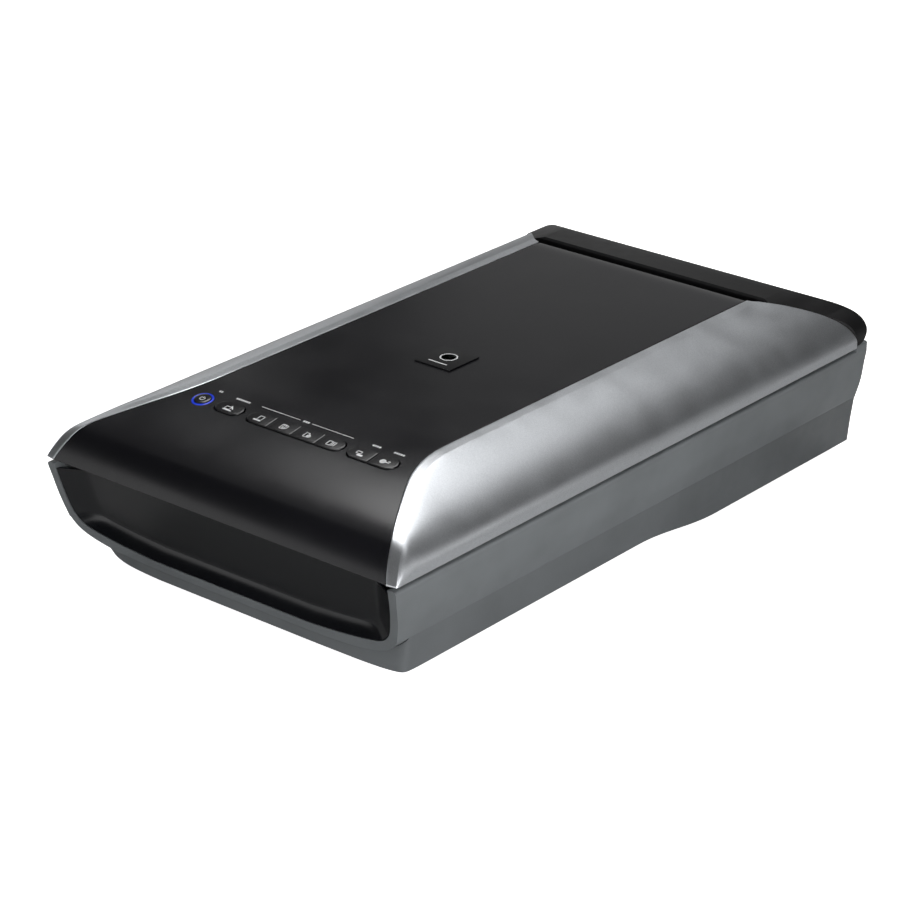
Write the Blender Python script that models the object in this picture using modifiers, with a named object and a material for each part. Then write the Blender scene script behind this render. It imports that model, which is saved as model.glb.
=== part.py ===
"""Flatbed film and document scanner, built as separate parts.

Lengths below are millimetres: x from the centre line (right is +), y from the lid's front edge
towards the rear, z up from the table. P() turns them into metres with the origin at the middle
of the footprint, on the table.
"""
import bmesh
import bpy
import math
from mathutils import Matrix, Vector

for ob in list(bpy.data.objects):
    bpy.data.objects.remove(ob, do_unlink=True)

# ---------------------------------------------------------------- driving dimensions (mm)
DEPTH = 460.0            # overall, front edge of the lid to the rear wall
HALF_W = 136.0           # half of the overall width
LID_EDGE_Z = 76.5        # lower edge of the closed lid
CASE_TOP_Z = 73.6        # top of the base around the glass
SHOULDER_Z = 77.5        # raised rear ledge of the base
SHOULDER_Y = 447.4
SEAM_Z = 36.5            # joint between upper and lower case
FRONT_UNDER_Z = 14.5     # underside of the front half
REAR_UNDER_Z = 6.5       # underside of the rear half
S_START_Y, S_END_Y = 232.0, 312.0
HINGE_Y, HINGE_Z = 448.5, 89.0
HINGE_R = 11.0           # rear of the lid is round about the hinge
POST_X = 88.0
GAP = 0.3
PANEL_T = 2.5
TRIM_T = 2.4
PANEL_GAP = 0.4           # between the panel and the silver trims
FRONT_LEAN = 0.245       # the front frame leans back by this much per mm of height

# lid top, front to rear: (y, z, half-width of the black panel, width of the bevel, its drop)
LID_PROFILE = [
    (0.0, 76.5, 128.75, 6.3, 0.0), (1.0, 78.4, 127.9, 6.6, 0.3), (3.0, 81.9, 126.6, 6.8, 0.8),
    (6.0, 86.0, 124.6, 7.1, 1.2), (10.0, 90.6, 122.4, 7.1, 1.6), (14.5, 94.3, 119.9, 7.2, 1.8),
    (20.0, 96.9, 116.5, 7.2, 1.9), (28.0, 99.4, 111.5, 7.2, 1.8), (42.0, 102.9, 103.2, 7.2, 0.9),
    (54.0, 105.6, 96.3, 7.2, 0.6), (65.0, 107.8, 90.3, 7.2, 0.5), (79.0, 109.7, 85.5, 7.1, 0.4),
    (92.0, 110.6, 83.4, 7.0, 0.3), (104.0, 110.8, 83.15, 7.0, 0.3), (392.0, 110.8, 83.15, 7.0, 0.3),
]
WIDTHS = [(row[0], row[2]) for row in LID_PROFILE]
PANEL_TAIL = [(396.5, 110.5), (399.6, 109.6), (401.6, 107.9), (402.4, 105.6), (402.5, 98.2)]
# rear edge of the silver trim: (x, y)
TRIM_END = [(83.0, 397.0), (87.8, 399.0), (91.2, 401.8), (99.8, 411.6), (108.6, 421.2),
            (117.3, 431.2), (126.3, 440.0), (130.3, 443.0), (134.8, 445.2), (136.1, 446.6)]
# side wall of the base: (x, z)
WALL = [(133.9, 73.6), (135.0, 73.0), (135.3, 71.8), (134.6, 68.0), (133.6, 62.2), (132.6, 54.0),
        (131.7, 49.5), (130.6, 45.4), (129.3, 41.0), (128.0, 36.5)]
# front frame, outer and inner outline of its right half: (x, z)
FRAME_OUT = [(134.7, 70.7), (133.7, 62.2), (132.7, 54.0), (130.6, 45.4), (127.9, 37.6),
             (125.2, 33.8), (120.8, 30.3), (116.1, 28.0), (108.4, 25.9), (98.6, 23.9),
             (84.4, 22.4), (60.0, 21.6)]
FRAME_IN = [(129.4, 70.8), (128.6, 62.8), (127.1, 53.4), (125.1, 44.7), (122.8, 39.9),
            (119.9, 36.8), (116.1, 34.4), (110.6, 32.9), (101.9, 31.4), (87.3, 29.2),
            (60.0, 27.2)]
FRAME_DEEP = 9.0
# back wall of the hand recess, right half: (x, z)
RECESS_BACK = [(113.6, 74.0), (113.4, 70.8), (112.6, 62.0), (112.0, 54.0), (111.0, 47.6),
               (109.4, 44.2), (106.6, 41.6), (102.4, 39.6), (96.6, 38.2), (88.0, 37.0),
               (76.0, 35.8), (56.0, 34.6)]
# lower case in plan at the seam and at the underside: (x, y)
PLAN_TOP = [(60.0, 17.5), (97.0, 18.0), (110.4, 19.2), (121.0, 20.6), (126.5, 22.6), (128.0, 26.5)]
PLAN_LOW = [(60.0, 14.5), (96.9, 15.0), (110.4, 16.2), (120.5, 17.5), (124.8, 19.6), (126.0, 23.5)]
# rear cover: (y, z)
COVER = [(408.7, 94.0), (408.7, 108.5), (409.7, 109.5), (425.0, 109.5), (433.0, 109.0),
         (440.0, 107.3), (447.0, 104.2), (452.5, 100.6), (456.5, 96.2), (459.0, 91.5)]
COVER_END = [(88.0, 109.6), (96.0, 107.2), (100.0, 105.6), (105.0, 103.6), (112.0, 101.3),
             (117.0, 98.9), (122.0, 96.2), (128.0, 92.0), (132.5, 87.3), (135.0, 82.0), (136.0, 77.0)]

GLASS_X, GLASS_Y0, GLASS_Y1 = 112.0, 62.0, 376.0
BUTTON_Y = 68.0
BUTTON_TILT = math.radians(9.0)
BUTTON_HALF = 5.6
CARRIAGE_Y = 398.0

# ---------------------------------------------------------------- collections and helpers
parts = bpy.data.collections.new("flatbed_scanner")
cutters = bpy.data.collections.new("cutters")
bpy.context.scene.collection.children.link(parts)
bpy.context.scene.collection.children.link(cutters)


def P(x, y, z):
    return Vector((x * 0.001, (y - DEPTH / 2) * 0.001, z * 0.001))


def material(name, colour, rough, metal=0.0, alpha=1.0):
    mat = bpy.data.materials.new(name)
    mat.use_nodes = True
    node = mat.node_tree.nodes["Principled BSDF"]
    node.inputs["Base Color"].default_value = (*colour, 1.0)
    node.inputs["Roughness"].default_value = rough
    node.inputs["Metallic"].default_value = metal
    node.inputs["Alpha"].default_value = alpha
    return mat


GREY = (0.10, 0.11, 0.115)
BLACK = (0.012, 0.012, 0.014)


def body(name, bm, colour=GREY, rough=0.4, metal=0.0, origin=None, alpha=1.0):
    """A part from a bmesh in millimetres; origin is the point its own axes sit at."""
    home = P(*origin) if origin else Vector((0.0, 0.0, 0.0))
    ob = place(name, bm, home, parts)
    ob.data.materials.append(material(name, colour, rough, metal, alpha))
    for face in ob.data.polygons:
        face.use_smooth = True
    ob.data.set_sharp_from_angle(angle=math.radians(30))
    return ob


def place(name, bm, home, collection):
    bmesh.ops.transform(bm, verts=bm.verts,
                        matrix=Matrix.Translation(P(0, 0, 0) - home) @ Matrix.Scale(0.001, 4))
    bmesh.ops.remove_doubles(bm, verts=bm.verts, dist=0.000002)
    bmesh.ops.recalc_face_normals(bm, faces=bm.faces)
    me = bpy.data.meshes.new(name)
    bm.to_mesh(me)
    bm.free()
    ob = bpy.data.objects.new(name, me)
    ob.location = home
    collection.objects.link(ob)
    return ob


def cutter(name, bm):
    ob = place(name, bm, Vector((0.0, 0.0, 0.0)), cutters)
    ob.hide_render = True
    ob.display_type = "WIRE"
    return ob


def boolean(ob, tool, how="DIFFERENCE"):
    mod = ob.modifiers.new(how.lower(), "BOOLEAN")
    mod.operation = how
    mod.solver = "EXACT"
    mod.object = tool
    return ob


def on_axis(axis, p, t):
    """Point of an outline at the distance t along the axis."""
    return Vector({"x": (t, p[0], p[1]), "y": (p[0], t, p[1]), "z": (p[0], p[1], t)}[axis])


def extrude(points, axis, lo, hi):
    """Flat outline pushed along x (points are y, z), y (x, z) or z (x, y)."""
    bm = bmesh.new()
    face = bm.faces.new([bm.verts.new(on_axis(axis, p, lo)) for p in points])
    moved = bmesh.ops.extrude_face_region(bm, geom=[face])["geom"]
    shift = on_axis(axis, (0.0, 0.0), hi - lo)
    bmesh.ops.translate(bm, vec=shift, verts=[g for g in moved if isinstance(g, bmesh.types.BMVert)])
    return bm


def block(x0, x1, y0, y1, z0, z1):
    bm = bmesh.new()
    centre = Vector(((x0 + x1) / 2, (y0 + y1) / 2, (z0 + z1) / 2))
    size = Matrix.Diagonal((abs(x1 - x0), abs(y1 - y0), abs(z1 - z0), 1.0))
    bmesh.ops.create_cube(bm, size=1.0, matrix=Matrix.Translation(centre) @ size)
    return bm


TURN = {"x": Matrix.Rotation(math.pi / 2, 4, "Y"), "y": Matrix.Rotation(-math.pi / 2, 4, "X"),
        "z": Matrix.Identity(4)}


def rod(axis, a, b, r, lo, hi, n=32):
    bm = bmesh.new()
    centre = on_axis(axis, (a, b), (lo + hi) / 2)
    bmesh.ops.create_cone(bm, cap_ends=True, segments=n, radius1=r, radius2=r, depth=abs(hi - lo),
                          matrix=Matrix.Translation(centre) @ TURN[axis])
    return bm


def turned(name, axis, a, b, steps, n=32, **look):
    """Round body turned from a profile: steps are (position along the axis, radius)."""
    mid = (steps[0][0] + steps[-1][0]) / 2
    line = [(0.0, steps[-1][0] - mid)] + [(r, t - mid) for t, r in reversed(steps)]
    line.append((0.0, steps[0][0] - mid))
    bm = bmesh.new()
    verts = [bm.verts.new((r, 0.0, h)) for r, h in line]
    for v, w in zip(verts, verts[1:]):
        bm.edges.new((v, w))
    bmesh.ops.scale(bm, vec=(0.001, 0.001, 0.001), verts=bm.verts)
    me = bpy.data.meshes.new(name)
    bm.to_mesh(me)
    bm.free()
    ob = bpy.data.objects.new(name, me)
    ob.location = P(*on_axis(axis, (a, b), mid))
    ob.rotation_euler = TURN[axis].to_euler()
    parts.objects.link(ob)
    spin = ob.modifiers.new("turn", "SCREW")
    spin.axis = "Z"
    spin.steps = spin.render_steps = n
    spin.use_merge_vertices = True
    spin.merge_threshold = 0.00001
    me.materials.append(material(name, look.get("colour", GREY), look.get("rough", 0.4),
                                 look.get("metal", 0.0)))
    return ob


def loft(rings):
    """Closed solid through unlike sections of equal count, capped at both ends."""
    bm = bmesh.new()
    rows = [[bm.verts.new(p) for p in ring] for ring in rings]
    n = len(rows[0])
    for low, high in zip(rows, rows[1:]):
        for i in range(n):
            j = (i + 1) % n
            bm.faces.new((low[i], low[j], high[j], high[i]))
    bm.faces.new(rows[0])
    bm.faces.new(list(reversed(rows[-1])))
    return bm


def surface(rows):
    """Open skin over a grid of points."""
    bm = bmesh.new()
    grid = [[bm.verts.new(p) for p in row] for row in rows]
    for low, high in zip(grid, grid[1:]):
        for i in range(len(low) - 1):
            bm.faces.new((low[i], low[i + 1], high[i + 1], high[i]))
    return bm


def thicken(ob, thickness):
    mod = ob.modifiers.new("wall", "SOLIDIFY")
    mod.thickness = thickness * 0.001
    mod.offset = -1.0
    return ob


def disc(cx, cy, r, n=32, start=0.0):
    return [(cx + r * math.cos(start + 2 * math.pi * i / n),
             cy + r * math.sin(start + 2 * math.pi * i / n)) for i in range(n)]


def lerp(a, b, t):
    return a + (b - a) * t


def interp(table, x):
    if x <= table[0][0]:
        return table[0][1]
    for (x0, y0), (x1, y1) in zip(table, table[1:]):
        if x <= x1:
            return lerp(y0, y1, (x - x0) / (x1 - x0))
    return table[-1][1]


def mirror(points):
    return [(-x, y) for x, y in reversed(points)]


# ---------------------------------------------------------------- lid
def lid_top_panel():
    """Loft of the panel's cross-bars, each PANEL_T thick square to the profile."""
    line = [(y, z, hw) for y, z, hw, _, _ in LID_PROFILE] + [(y, z, 83.15) for y, z in PANEL_TAIL]
    last = len(line) - 1
    rings = []
    for k, (y, z, hw) in enumerate(line):
        (y0, z0, _), (y1, z1, _) = line[max(k - 1, 0)], line[min(k + 1, last)]
        length = math.hypot(y1 - y0, z1 - z0)
        deep_y, deep_z = y + (z1 - z0) / length * PANEL_T, z - (y1 - y0) / length * PANEL_T
        if k in (0, last):
            deep_y, deep_z = y + (PANEL_T if k == 0 else -PANEL_T), z
        hw_in = min(hw, interp(WIDTHS, deep_y))
        rings.append([(-hw, y, z), (hw, y, z), (hw_in, deep_y, deep_z), (-hw_in, deep_y, deep_z)])
    ob = body("lid_top_panel", loft(rings), colour=BLACK, rough=0.12,
              origin=(0, HINGE_Y, HINGE_Z))
    for tag, cx, half in (("scan", -50.0, 10.4), ("file", 1.95, 37.0), ("send", 60.6, 18.3)):
        hole = tilted(slot_outline(cx, half, BUTTON_HALF + 0.45, True, True), -6.0, 4.0)
        boolean(ob, cutter(tag + "_opening", hole))
    boolean(ob, cutter("power_key_opening", tilted(disc(-72.0, 0.0, 7.0), -6.0, 4.0)))
    return ob


def face_to(ob, way):
    """Turns an open skin's faces to its outside, which lies that way."""
    me = ob.data
    if sum(face.normal.dot(way) * face.area for face in me.polygons) < 0:
        me.flip_normals()


def trim_section(k):
    """Cross-section of a silver trim at one station of the lid profile, inner edge outwards."""
    y, z, hw, bevel, drop = LID_PROFILE[k]
    xr, zr = hw + bevel, z - drop
    low = LID_EDGE_Z
    side = min(80.5, low + (zr - low) * 0.3)
    reach = 20.0 * (HALF_W - xr) / 45.8
    rise = 10.0 * (zr - side) / 30.0
    slope = 0.22 if k > 0 else 0.0
    p = [(xr, zr), (xr + reach, zr - slope * reach), (HALF_W, side + rise), (HALF_W, side)]
    ends = {0: 4.0, 1: 4.6, 2: 6.0, 3: 8.2, 4: 11.6, 5: 15.6, 6: 20.6}
    y_end = ends.get(k, y)
    y_ridge = y + max(0.0, 1.2 * (1 - y / 20.0))
    pts = [(hw + PANEL_GAP, y, z), (xr, y_ridge, zr)]
    for t in (0.12, 0.26, 0.4, 0.55, 0.7, 0.85, 1.0):
        s = 1 - t
        x = s ** 3 * p[0][0] + 3 * s * s * t * p[1][0] + 3 * s * t * t * p[2][0] + t ** 3 * p[3][0]
        zz = s ** 3 * p[0][1] + 3 * s * s * t * p[1][1] + 3 * s * t * t * p[2][1] + t ** 3 * p[3][1]
        pts.append((x, lerp(y_ridge, y_end, t * t), zz))
    pts.append((HALF_W, y_end, low))
    if k == 0:
        pts[-1] = (HALF_W, y_end + 0.6, low)
    return pts


def trim_grid():
    rows = [trim_section(k) for k in range(len(LID_PROFILE) - 1)]
    flat = rows[-1]
    for y in (200.0, 300.0, 385.0):
        rows.append([(x, y, z) for x, _, z in flat])
    rows.append([(x, interp(TRIM_END, x), z) for x, _, z in flat])
    return rows


def trim_inner(outer, r, c):
    """Point of the trim's hidden side behind the point c of the section r."""
    rows, cols = len(outer), len(outer[0])
    here = Vector(outer[r][c])
    if r == 0:
        deep = here + (Vector((-0.2, 2.2, 0.0)) if c == 0 else Vector((-0.9, 1.9, 0.0)))
    else:
        along = Vector(outer[min(r + 1, rows - 1)][c]) - Vector(outer[r - 1][c])
        across = Vector(outer[r][min(c + 1, cols - 1)]) - Vector(outer[r][max(c - 1, 0)])
        normal = across.cross(along).normalized()
        deep = here - TRIM_T * (normal if normal.z > 0 or normal.x > 0 else -normal)
    deep.z = LID_EDGE_Z if c == cols - 1 else max(deep.z, LID_EDGE_Z)
    if c == 0:
        deep.x = max(deep.x, interp(WIDTHS, deep.y) + PANEL_GAP)
    if r == rows - 1:
        deep.y = interp(TRIM_END, deep.x)
    return deep


def lid_trim(name, side):
    outer = trim_grid()
    rings = []
    for r, row in enumerate(outer):
        inner = [trim_inner(outer, r, c) for c in range(len(row))]
        ring = list(row) + [tuple(p) for p in reversed(inner)]
        rings.append([(side * x, y, z) for x, y, z in ring])
    return body(name, loft(rings), colour=(0.55, 0.56, 0.57), rough=0.3, metal=0.8,
                origin=(0, HINGE_Y, HINGE_Z))


def hinge_cover():
    arc = [(HINGE_Y + HINGE_R * math.cos(a), HINGE_Z + HINGE_R * math.sin(a))
           for a in [math.radians(d) for d in (0, -15, -30, -45, -60, -75, -90)]]
    arc_in = [(HINGE_Y + (HINGE_R - 2.5) * math.cos(a), HINGE_Z + (HINGE_R - 2.5) * math.sin(a))
              for a in [math.radians(d) for d in (-90, -75, -60, -45, -30, -15, 0)]]
    inside = [(440.0, 80.5)] + arc_in
    inside += [(456.4, 91.0), (454.5, 93.4), (450.8, 97.4), (446.0, 100.8), (440.0, 102.8),
               (434.0, 103.4), (425.0, 103.4), (411.2, 103.4), (411.2, 94.0)]
    ring = COVER + arc + inside
    ob = body("hinge_cover", extrude(ring, "x", -136.5, 136.5), colour=BLACK, rough=0.45,
              origin=(0, HINGE_Y, HINGE_Z))
    # end walls, joined to the skin
    wall_outline = COVER + arc + [(440.0, 78.0), (437.0, 79.8), (411.0, 79.8)]
    for side in (-1, 1):
        ends = extrude(wall_outline, "x", *sorted((side * 100.0, side * 136.4)))
        boolean(ob, cutter("cover_end_%s" % ("left" if side < 0 else "right"), ends), "UNION")
    # groove floor between the panel and the cover
    floor = extrude([(396.0, 93.6), (411.9, 93.6), (411.9, 95.8), (396.0, 95.8)], "x", -80.0, 80.0)
    boolean(ob, cutter("groove_floor", floor), "UNION")
    # rounded ends
    shape = mirror(COVER_END) + COVER_END
    shape = [(-136.0, 60.0)] + shape + [(136.0, 60.0)]
    keep = extrude(shape, "y", 380.0, 470.0)
    boolean(ob, cutter("cover_keep", keep), "INTERSECT")
    # room for the silver trims
    for side in (-1, 1):
        pts = [(side * x, y + 1.1) for x, y in TRIM_END[2:]]
        pts = [(side * 90.4, 402.1)] + pts + [(side * 140.0, 448.1), (side * 140.0, 390.0),
                                              (side * 90.4, 390.0)]
        tool = extrude(pts, "z", 70.0, 120.0)
        boolean(ob, cutter("trim_room_%s" % ("left" if side < 0 else "right"), tool))
    # windows for the hinge posts
    for side in (-1, 1):
        lo, hi = sorted((side * (POST_X - 8.8), side * (POST_X + 8.8)))
        tool = block(lo, hi, 441.0, 470.0, 70.0, 96.0)
        boolean(ob, cutter("post_window_%s" % ("left" if side < 0 else "right"), tool))
    return ob


def lid_inner_frame():
    outline = [(-126.0, 14.0), (126.0, 14.0), (131.0, 24.0), (131.0, 425.0), (126.0, 436.0),
               (-126.0, 436.0), (-131.0, 425.0), (-131.0, 24.0)]
    ob = body("lid_inner_frame", extrude(outline, "z", 77.0, 79.4), colour=(0.62, 0.62, 0.6),
              rough=0.5, origin=(0, HINGE_Y, HINGE_Z))
    boolean(ob, cutter("mat_opening", block(-GLASS_X - 0.4, GLASS_X + 0.4, GLASS_Y0 - 0.4,
                                              GLASS_Y1 + 0.4, 70.0, 90.0)))
    walls = block(-GLASS_X - 2.6, GLASS_X + 2.6, GLASS_Y0 - 2.6, GLASS_Y1 + 2.6, 78.0, 86.4)
    boolean(ob, cutter("tray_walls", walls), "UNION")
    boolean(ob, cutter("tray_room", block(-GLASS_X - 0.4, GLASS_X + 0.4, GLASS_Y0 - 0.4,
                                            GLASS_Y1 + 0.4, 70.0, 84.0)))
    boolean(ob, cutter("light_opening", block(-34.0, 34.0, 78.0, 342.0, 80.0, 90.0)))
    for k, y in enumerate((110.0, 250.0)):
        for side, lo, hi in (("left", -78.0, -40.0), ("right", 40.0, 78.0)):
            rib = block(lo, hi, y - 1.2, y + 1.2, 86.0, 107.9)
            boolean(ob, cutter("rib_%s_%d" % (side, k), rib), "UNION")
    boolean(ob, cutter("rib_rear", block(-78.0, 78.0, 386.8, 389.2, 78.6, 107.9)), "UNION")
    return ob


def tilted(outline, lo, hi, origin_y=BUTTON_Y):
    """Prism along the lid's surface normal at the buttons; outline is (x, along the slope)."""
    z0 = 108.2
    ct, st = math.cos(BUTTON_TILT), math.sin(BUTTON_TILT)

    def at(p, h):
        return (p[0], origin_y + p[1] * ct - h * st, z0 + p[1] * st + h * ct)
    return loft([[at(p, lo) for p in outline], [at(p, hi) for p in outline]])


def slot_outline(cx, half_len, half_h, left, right, n=8):
    """Bar with either end round or square."""
    pts = []
    if right:
        for i in range(n + 1):
            a = -math.pi / 2 + math.pi * i / n
            pts.append((cx + half_len - half_h + half_h * math.cos(a), half_h * math.sin(a)))
    else:
        pts += [(cx + half_len, -half_h), (cx + half_len, half_h)]
    if left:
        for i in range(n + 1):
            a = math.pi / 2 + math.pi * i / n
            pts.append((cx - half_len + half_h + half_h * math.cos(a), half_h * math.sin(a)))
    else:
        pts += [(cx - half_len, half_h), (cx - half_len, -half_h)]
    return pts


BUTTONS = [("scan_button", -50.0, 9.95, True, True), ("file_button_1", -25.65, 8.95, True, False),
           ("file_button_2", -7.05, 9.0, False, False), ("file_button_3", 11.45, 9.0, False, False),
           ("file_button_4", 29.7, 8.8, False, True), ("copy_button", 51.5, 8.75, True, False),
           ("mail_button", 69.75, 8.7, False, True)]


def button(name, cx, half_len, left, right):
    at = (cx, BUTTON_Y, 108.2)
    cap = tilted(slot_outline(cx, half_len, BUTTON_HALF, left, right), -3.0, 0.7)
    ob = body(name, cap, colour=(0.03, 0.03, 0.034), rough=0.3, origin=at)
    flange = [(cx - half_len + 2.6, -BUTTON_HALF - 1.6), (cx + half_len - 2.6, -BUTTON_HALF - 1.6),
              (cx + half_len - 2.6, BUTTON_HALF + 1.6), (cx - half_len + 2.6, BUTTON_HALF + 1.6)]
    boolean(ob, cutter(name + "_flange", tilted(flange, -4.2, -2.9)), "UNION")
    stem = [(cx - 1.6, -1.6), (cx + 1.6, -1.6), (cx + 1.6, 1.6), (cx - 1.6, 1.6)]
    boolean(ob, cutter(name + "_stem", tilted(stem, -7.0, -4.0)), "UNION")
    return ob


def power_button():
    ob = body("power_button", tilted(disc(-72.0, 0.0, 5.3), -3.0, 0.7), colour=(0.03, 0.03, 0.034),
              rough=0.3, origin=(-72.0, BUTTON_Y, 108.2))
    boolean(ob, cutter("power_flange", tilted(disc(-72.0, 0.0, 5.2), -4.2, -2.9)), "UNION")
    stem = [(-73.6, -1.6), (-70.4, -1.6), (-70.4, 1.6), (-73.6, 1.6)]
    boolean(ob, cutter("power_stem", tilted(stem, -7.0, -4.0)), "UNION")
    return ob


def power_light_ring():
    ob = body("power_light_ring", tilted(disc(-72.0, 0.0, 6.7), -4.4, 0.25),
              colour=(0.1, 0.25, 0.9), rough=0.3, origin=(-72.0, BUTTON_Y, 108.2))
    boolean(ob, cutter("ring_bore", tilted(disc(-72.0, 0.0, 5.65), -8.0, 3.0)))
    return ob


def button_board():
    pts = [(-82.0, -8.0), (80.0, -8.0), (80.0, 8.0), (-82.0, 8.0)]
    return body("button_board", tilted(pts, -9.9, -8.3), colour=(0.02, 0.14, 0.06), rough=0.5,
                origin=(0, BUTTON_Y, 100.0))


def film_light():
    body("film_light_window", block(-33.6, 33.6, 78.4, 341.6, 84.0, 86.0), rough=0.4,
         colour=(0.85, 0.86, 0.84), origin=(0, 210.0, 85.0))
    body("film_light_panel", block(-36.0, 36.0, 75.0, 345.0, 86.8, 92.0), rough=0.5,
         colour=(0.5, 0.5, 0.5), metal=0.6, origin=(0, 210.0, 89.0))
    body("document_mat", block(-GLASS_X, GLASS_X, GLASS_Y0, GLASS_Y1, 74.2, 83.7), rough=0.7,
         colour=(0.85, 0.85, 0.84), origin=(0, HINGE_Y, HINGE_Z))


def hinge_bracket(name, side):
    x0 = side * POST_X
    ear = disc(HINGE_Y, HINGE_Z, 6.0, 24)
    arm = [(418.0, 86.0), (448.5, 86.0), (448.5, 92.0), (418.0, 92.0)]
    lo, hi = x0 - 12.0, x0 - 8.7
    ob = body(name, extrude(arm, "x", lo, hi), colour=(0.4, 0.4, 0.41), rough=0.4, metal=0.9,
              origin=(x0, HINGE_Y, HINGE_Z))
    boolean(ob, cutter(name + "_ear_a", extrude(ear, "x", lo, hi)), "UNION")
    boolean(ob, cutter(name + "_tie", block(x0 - 12.0, x0 + 12.0, 417.0, 436.0, 88.0, 91.0)),
            "UNION")
    boolean(ob, cutter(name + "_arm_b", extrude(arm, "x", x0 + 8.7, x0 + 12.0)), "UNION")
    boolean(ob, cutter(name + "_ear_b", extrude(ear, "x", x0 + 8.7, x0 + 12.0)), "UNION")
    boolean(ob, cutter(name + "_bore", rod("x", HINGE_Y, HINGE_Z, 2.8, x0 - 20, x0 + 20, 24)))
    return ob


def hinge_post(name, side):
    x0 = side * POST_X
    knuckle = rod("x", HINGE_Y, HINGE_Z, 6.4, x0 - 8.2, x0 + 8.2, 32)
    ob = body(name, knuckle, colour=(0.03, 0.03, 0.032), rough=0.4, origin=(x0, HINGE_Y, 30.0))
    shank = block(x0 - 8.0, x0 + 8.0, HINGE_Y - 5.0, HINGE_Y + 5.0, 30.0, HINGE_Z)
    boolean(ob, cutter(name + "_shank", shank), "UNION")
    boolean(ob, cutter(name + "_bore", rod("x", HINGE_Y, HINGE_Z, 2.8, x0 - 20, x0 + 20, 24)))
    body(name.replace("post", "pin"), rod("x", HINGE_Y, HINGE_Z, 2.5, x0 - 11.6, x0 + 11.6, 24),
         colour=(0.6, 0.6, 0.6), rough=0.25, metal=1.0, origin=(x0, HINGE_Y, HINGE_Z))
    return ob


# ---------------------------------------------------------------- base
def front_y(z, base=1.4):
    return base + FRONT_LEAN * (70.7 - z)


def case_ring(grow=0.0, low=SEAM_Z):
    pts = [(x + grow, z) for x, z in WALL]
    pts[-1] = (pts[-1][0], low)
    return pts


def leaned(outline, near, far):
    """Prism along y whose near face lies in the leaning front plane."""
    return loft([[(x, front_y(z) + near, z) for x, z in outline],
                 [(x, (front_y(z) if far < 100 else 0.0) + far, z) for x, z in outline]])


def upper_case():
    side = case_ring()
    outline = mirror(side) + side
    rear = [(x, 460.0 - 0.05 * (CASE_TOP_Z - z) * 0.3, z) for x, z in outline]
    front = [(x, front_y(z), z) for x, z in outline]
    ob = body("upper_case", loft([front, rear]), colour=GREY, rough=0.42)
    # raised rear ledge
    ledge = [(134.9, 70.0), (135.1, 76.6), (134.4, SHOULDER_Z)]
    ledge = mirror(ledge) + ledge
    boolean(ob, cutter("ledge", extrude(ledge, "y", SHOULDER_Y, 460.0)), "UNION")
    # front frame, down to the chin
    chin = mirror(FRAME_OUT) + FRAME_OUT
    boolean(ob, cutter("front_frame", leaned(chin, 0.0, FRAME_DEEP)), "UNION")
    # hollow inside, open below
    room = [(x - 3.0, z) for x, z in WALL if z < 71.0]
    room = [(room[0][0], 70.6)] + room[1:] + [(room[-1][0] - 1.0, 20.0)]
    room = mirror(room) + room
    hollow = loft([[(x, front_y(z) + 13.0, z) for x, z in room],
                   [(x, 456.6, z) for x, z in room]])
    boolean(ob, cutter("case_room", hollow))
    # hand recess opening
    mouth = FRAME_IN[:]
    mouth = [(FRAME_IN[0][0], 90.0)] + mouth
    mouth = mirror(mouth) + mouth
    boolean(ob, cutter("recess_mouth", leaned(mouth, -8.0, 13.6)))
    # glass opening with a rebate
    boolean(ob, cutter("glass_seat", block(-GLASS_X - 6.3, GLASS_X + 6.3, GLASS_Y0 - 6.3,
                                             GLASS_Y1 + 30.3, 71.6 - 0.8, 80.0)))
    boolean(ob, cutter("glass_opening", block(-GLASS_X, GLASS_X, GLASS_Y0, GLASS_Y1 + 24.0,
                                                60.0, 80.0)))
    # wells for the hinge posts
    for s in (-1, 1):
        x0 = s * POST_X
        well = block(x0 - 8.5, x0 + 8.5, HINGE_Y - 5.5, HINGE_Y + 5.5, 60.0, 90.0)
        boolean(ob, cutter("well_%s" % ("left" if s < 0 else "right"), well))
    # rear openings for the sockets
    boolean(ob, cutter("usb_opening", block(-42.0, -28.0, 450.0, 470.0, 44.0, 56.0)))
    boolean(ob, cutter("power_opening", block(-68.0, -56.0, 450.0, 470.0, 43.5, 56.5)))
    return ob


def s_curve(lift):
    pts = []
    for i in range(13):
        t = i / 12.0
        w = t * t * (3 - 2 * t)
        pts.append((lerp(S_START_Y, S_END_Y, t), lerp(FRONT_UNDER_Z, REAR_UNDER_Z, w) + lift))
    return pts


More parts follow.
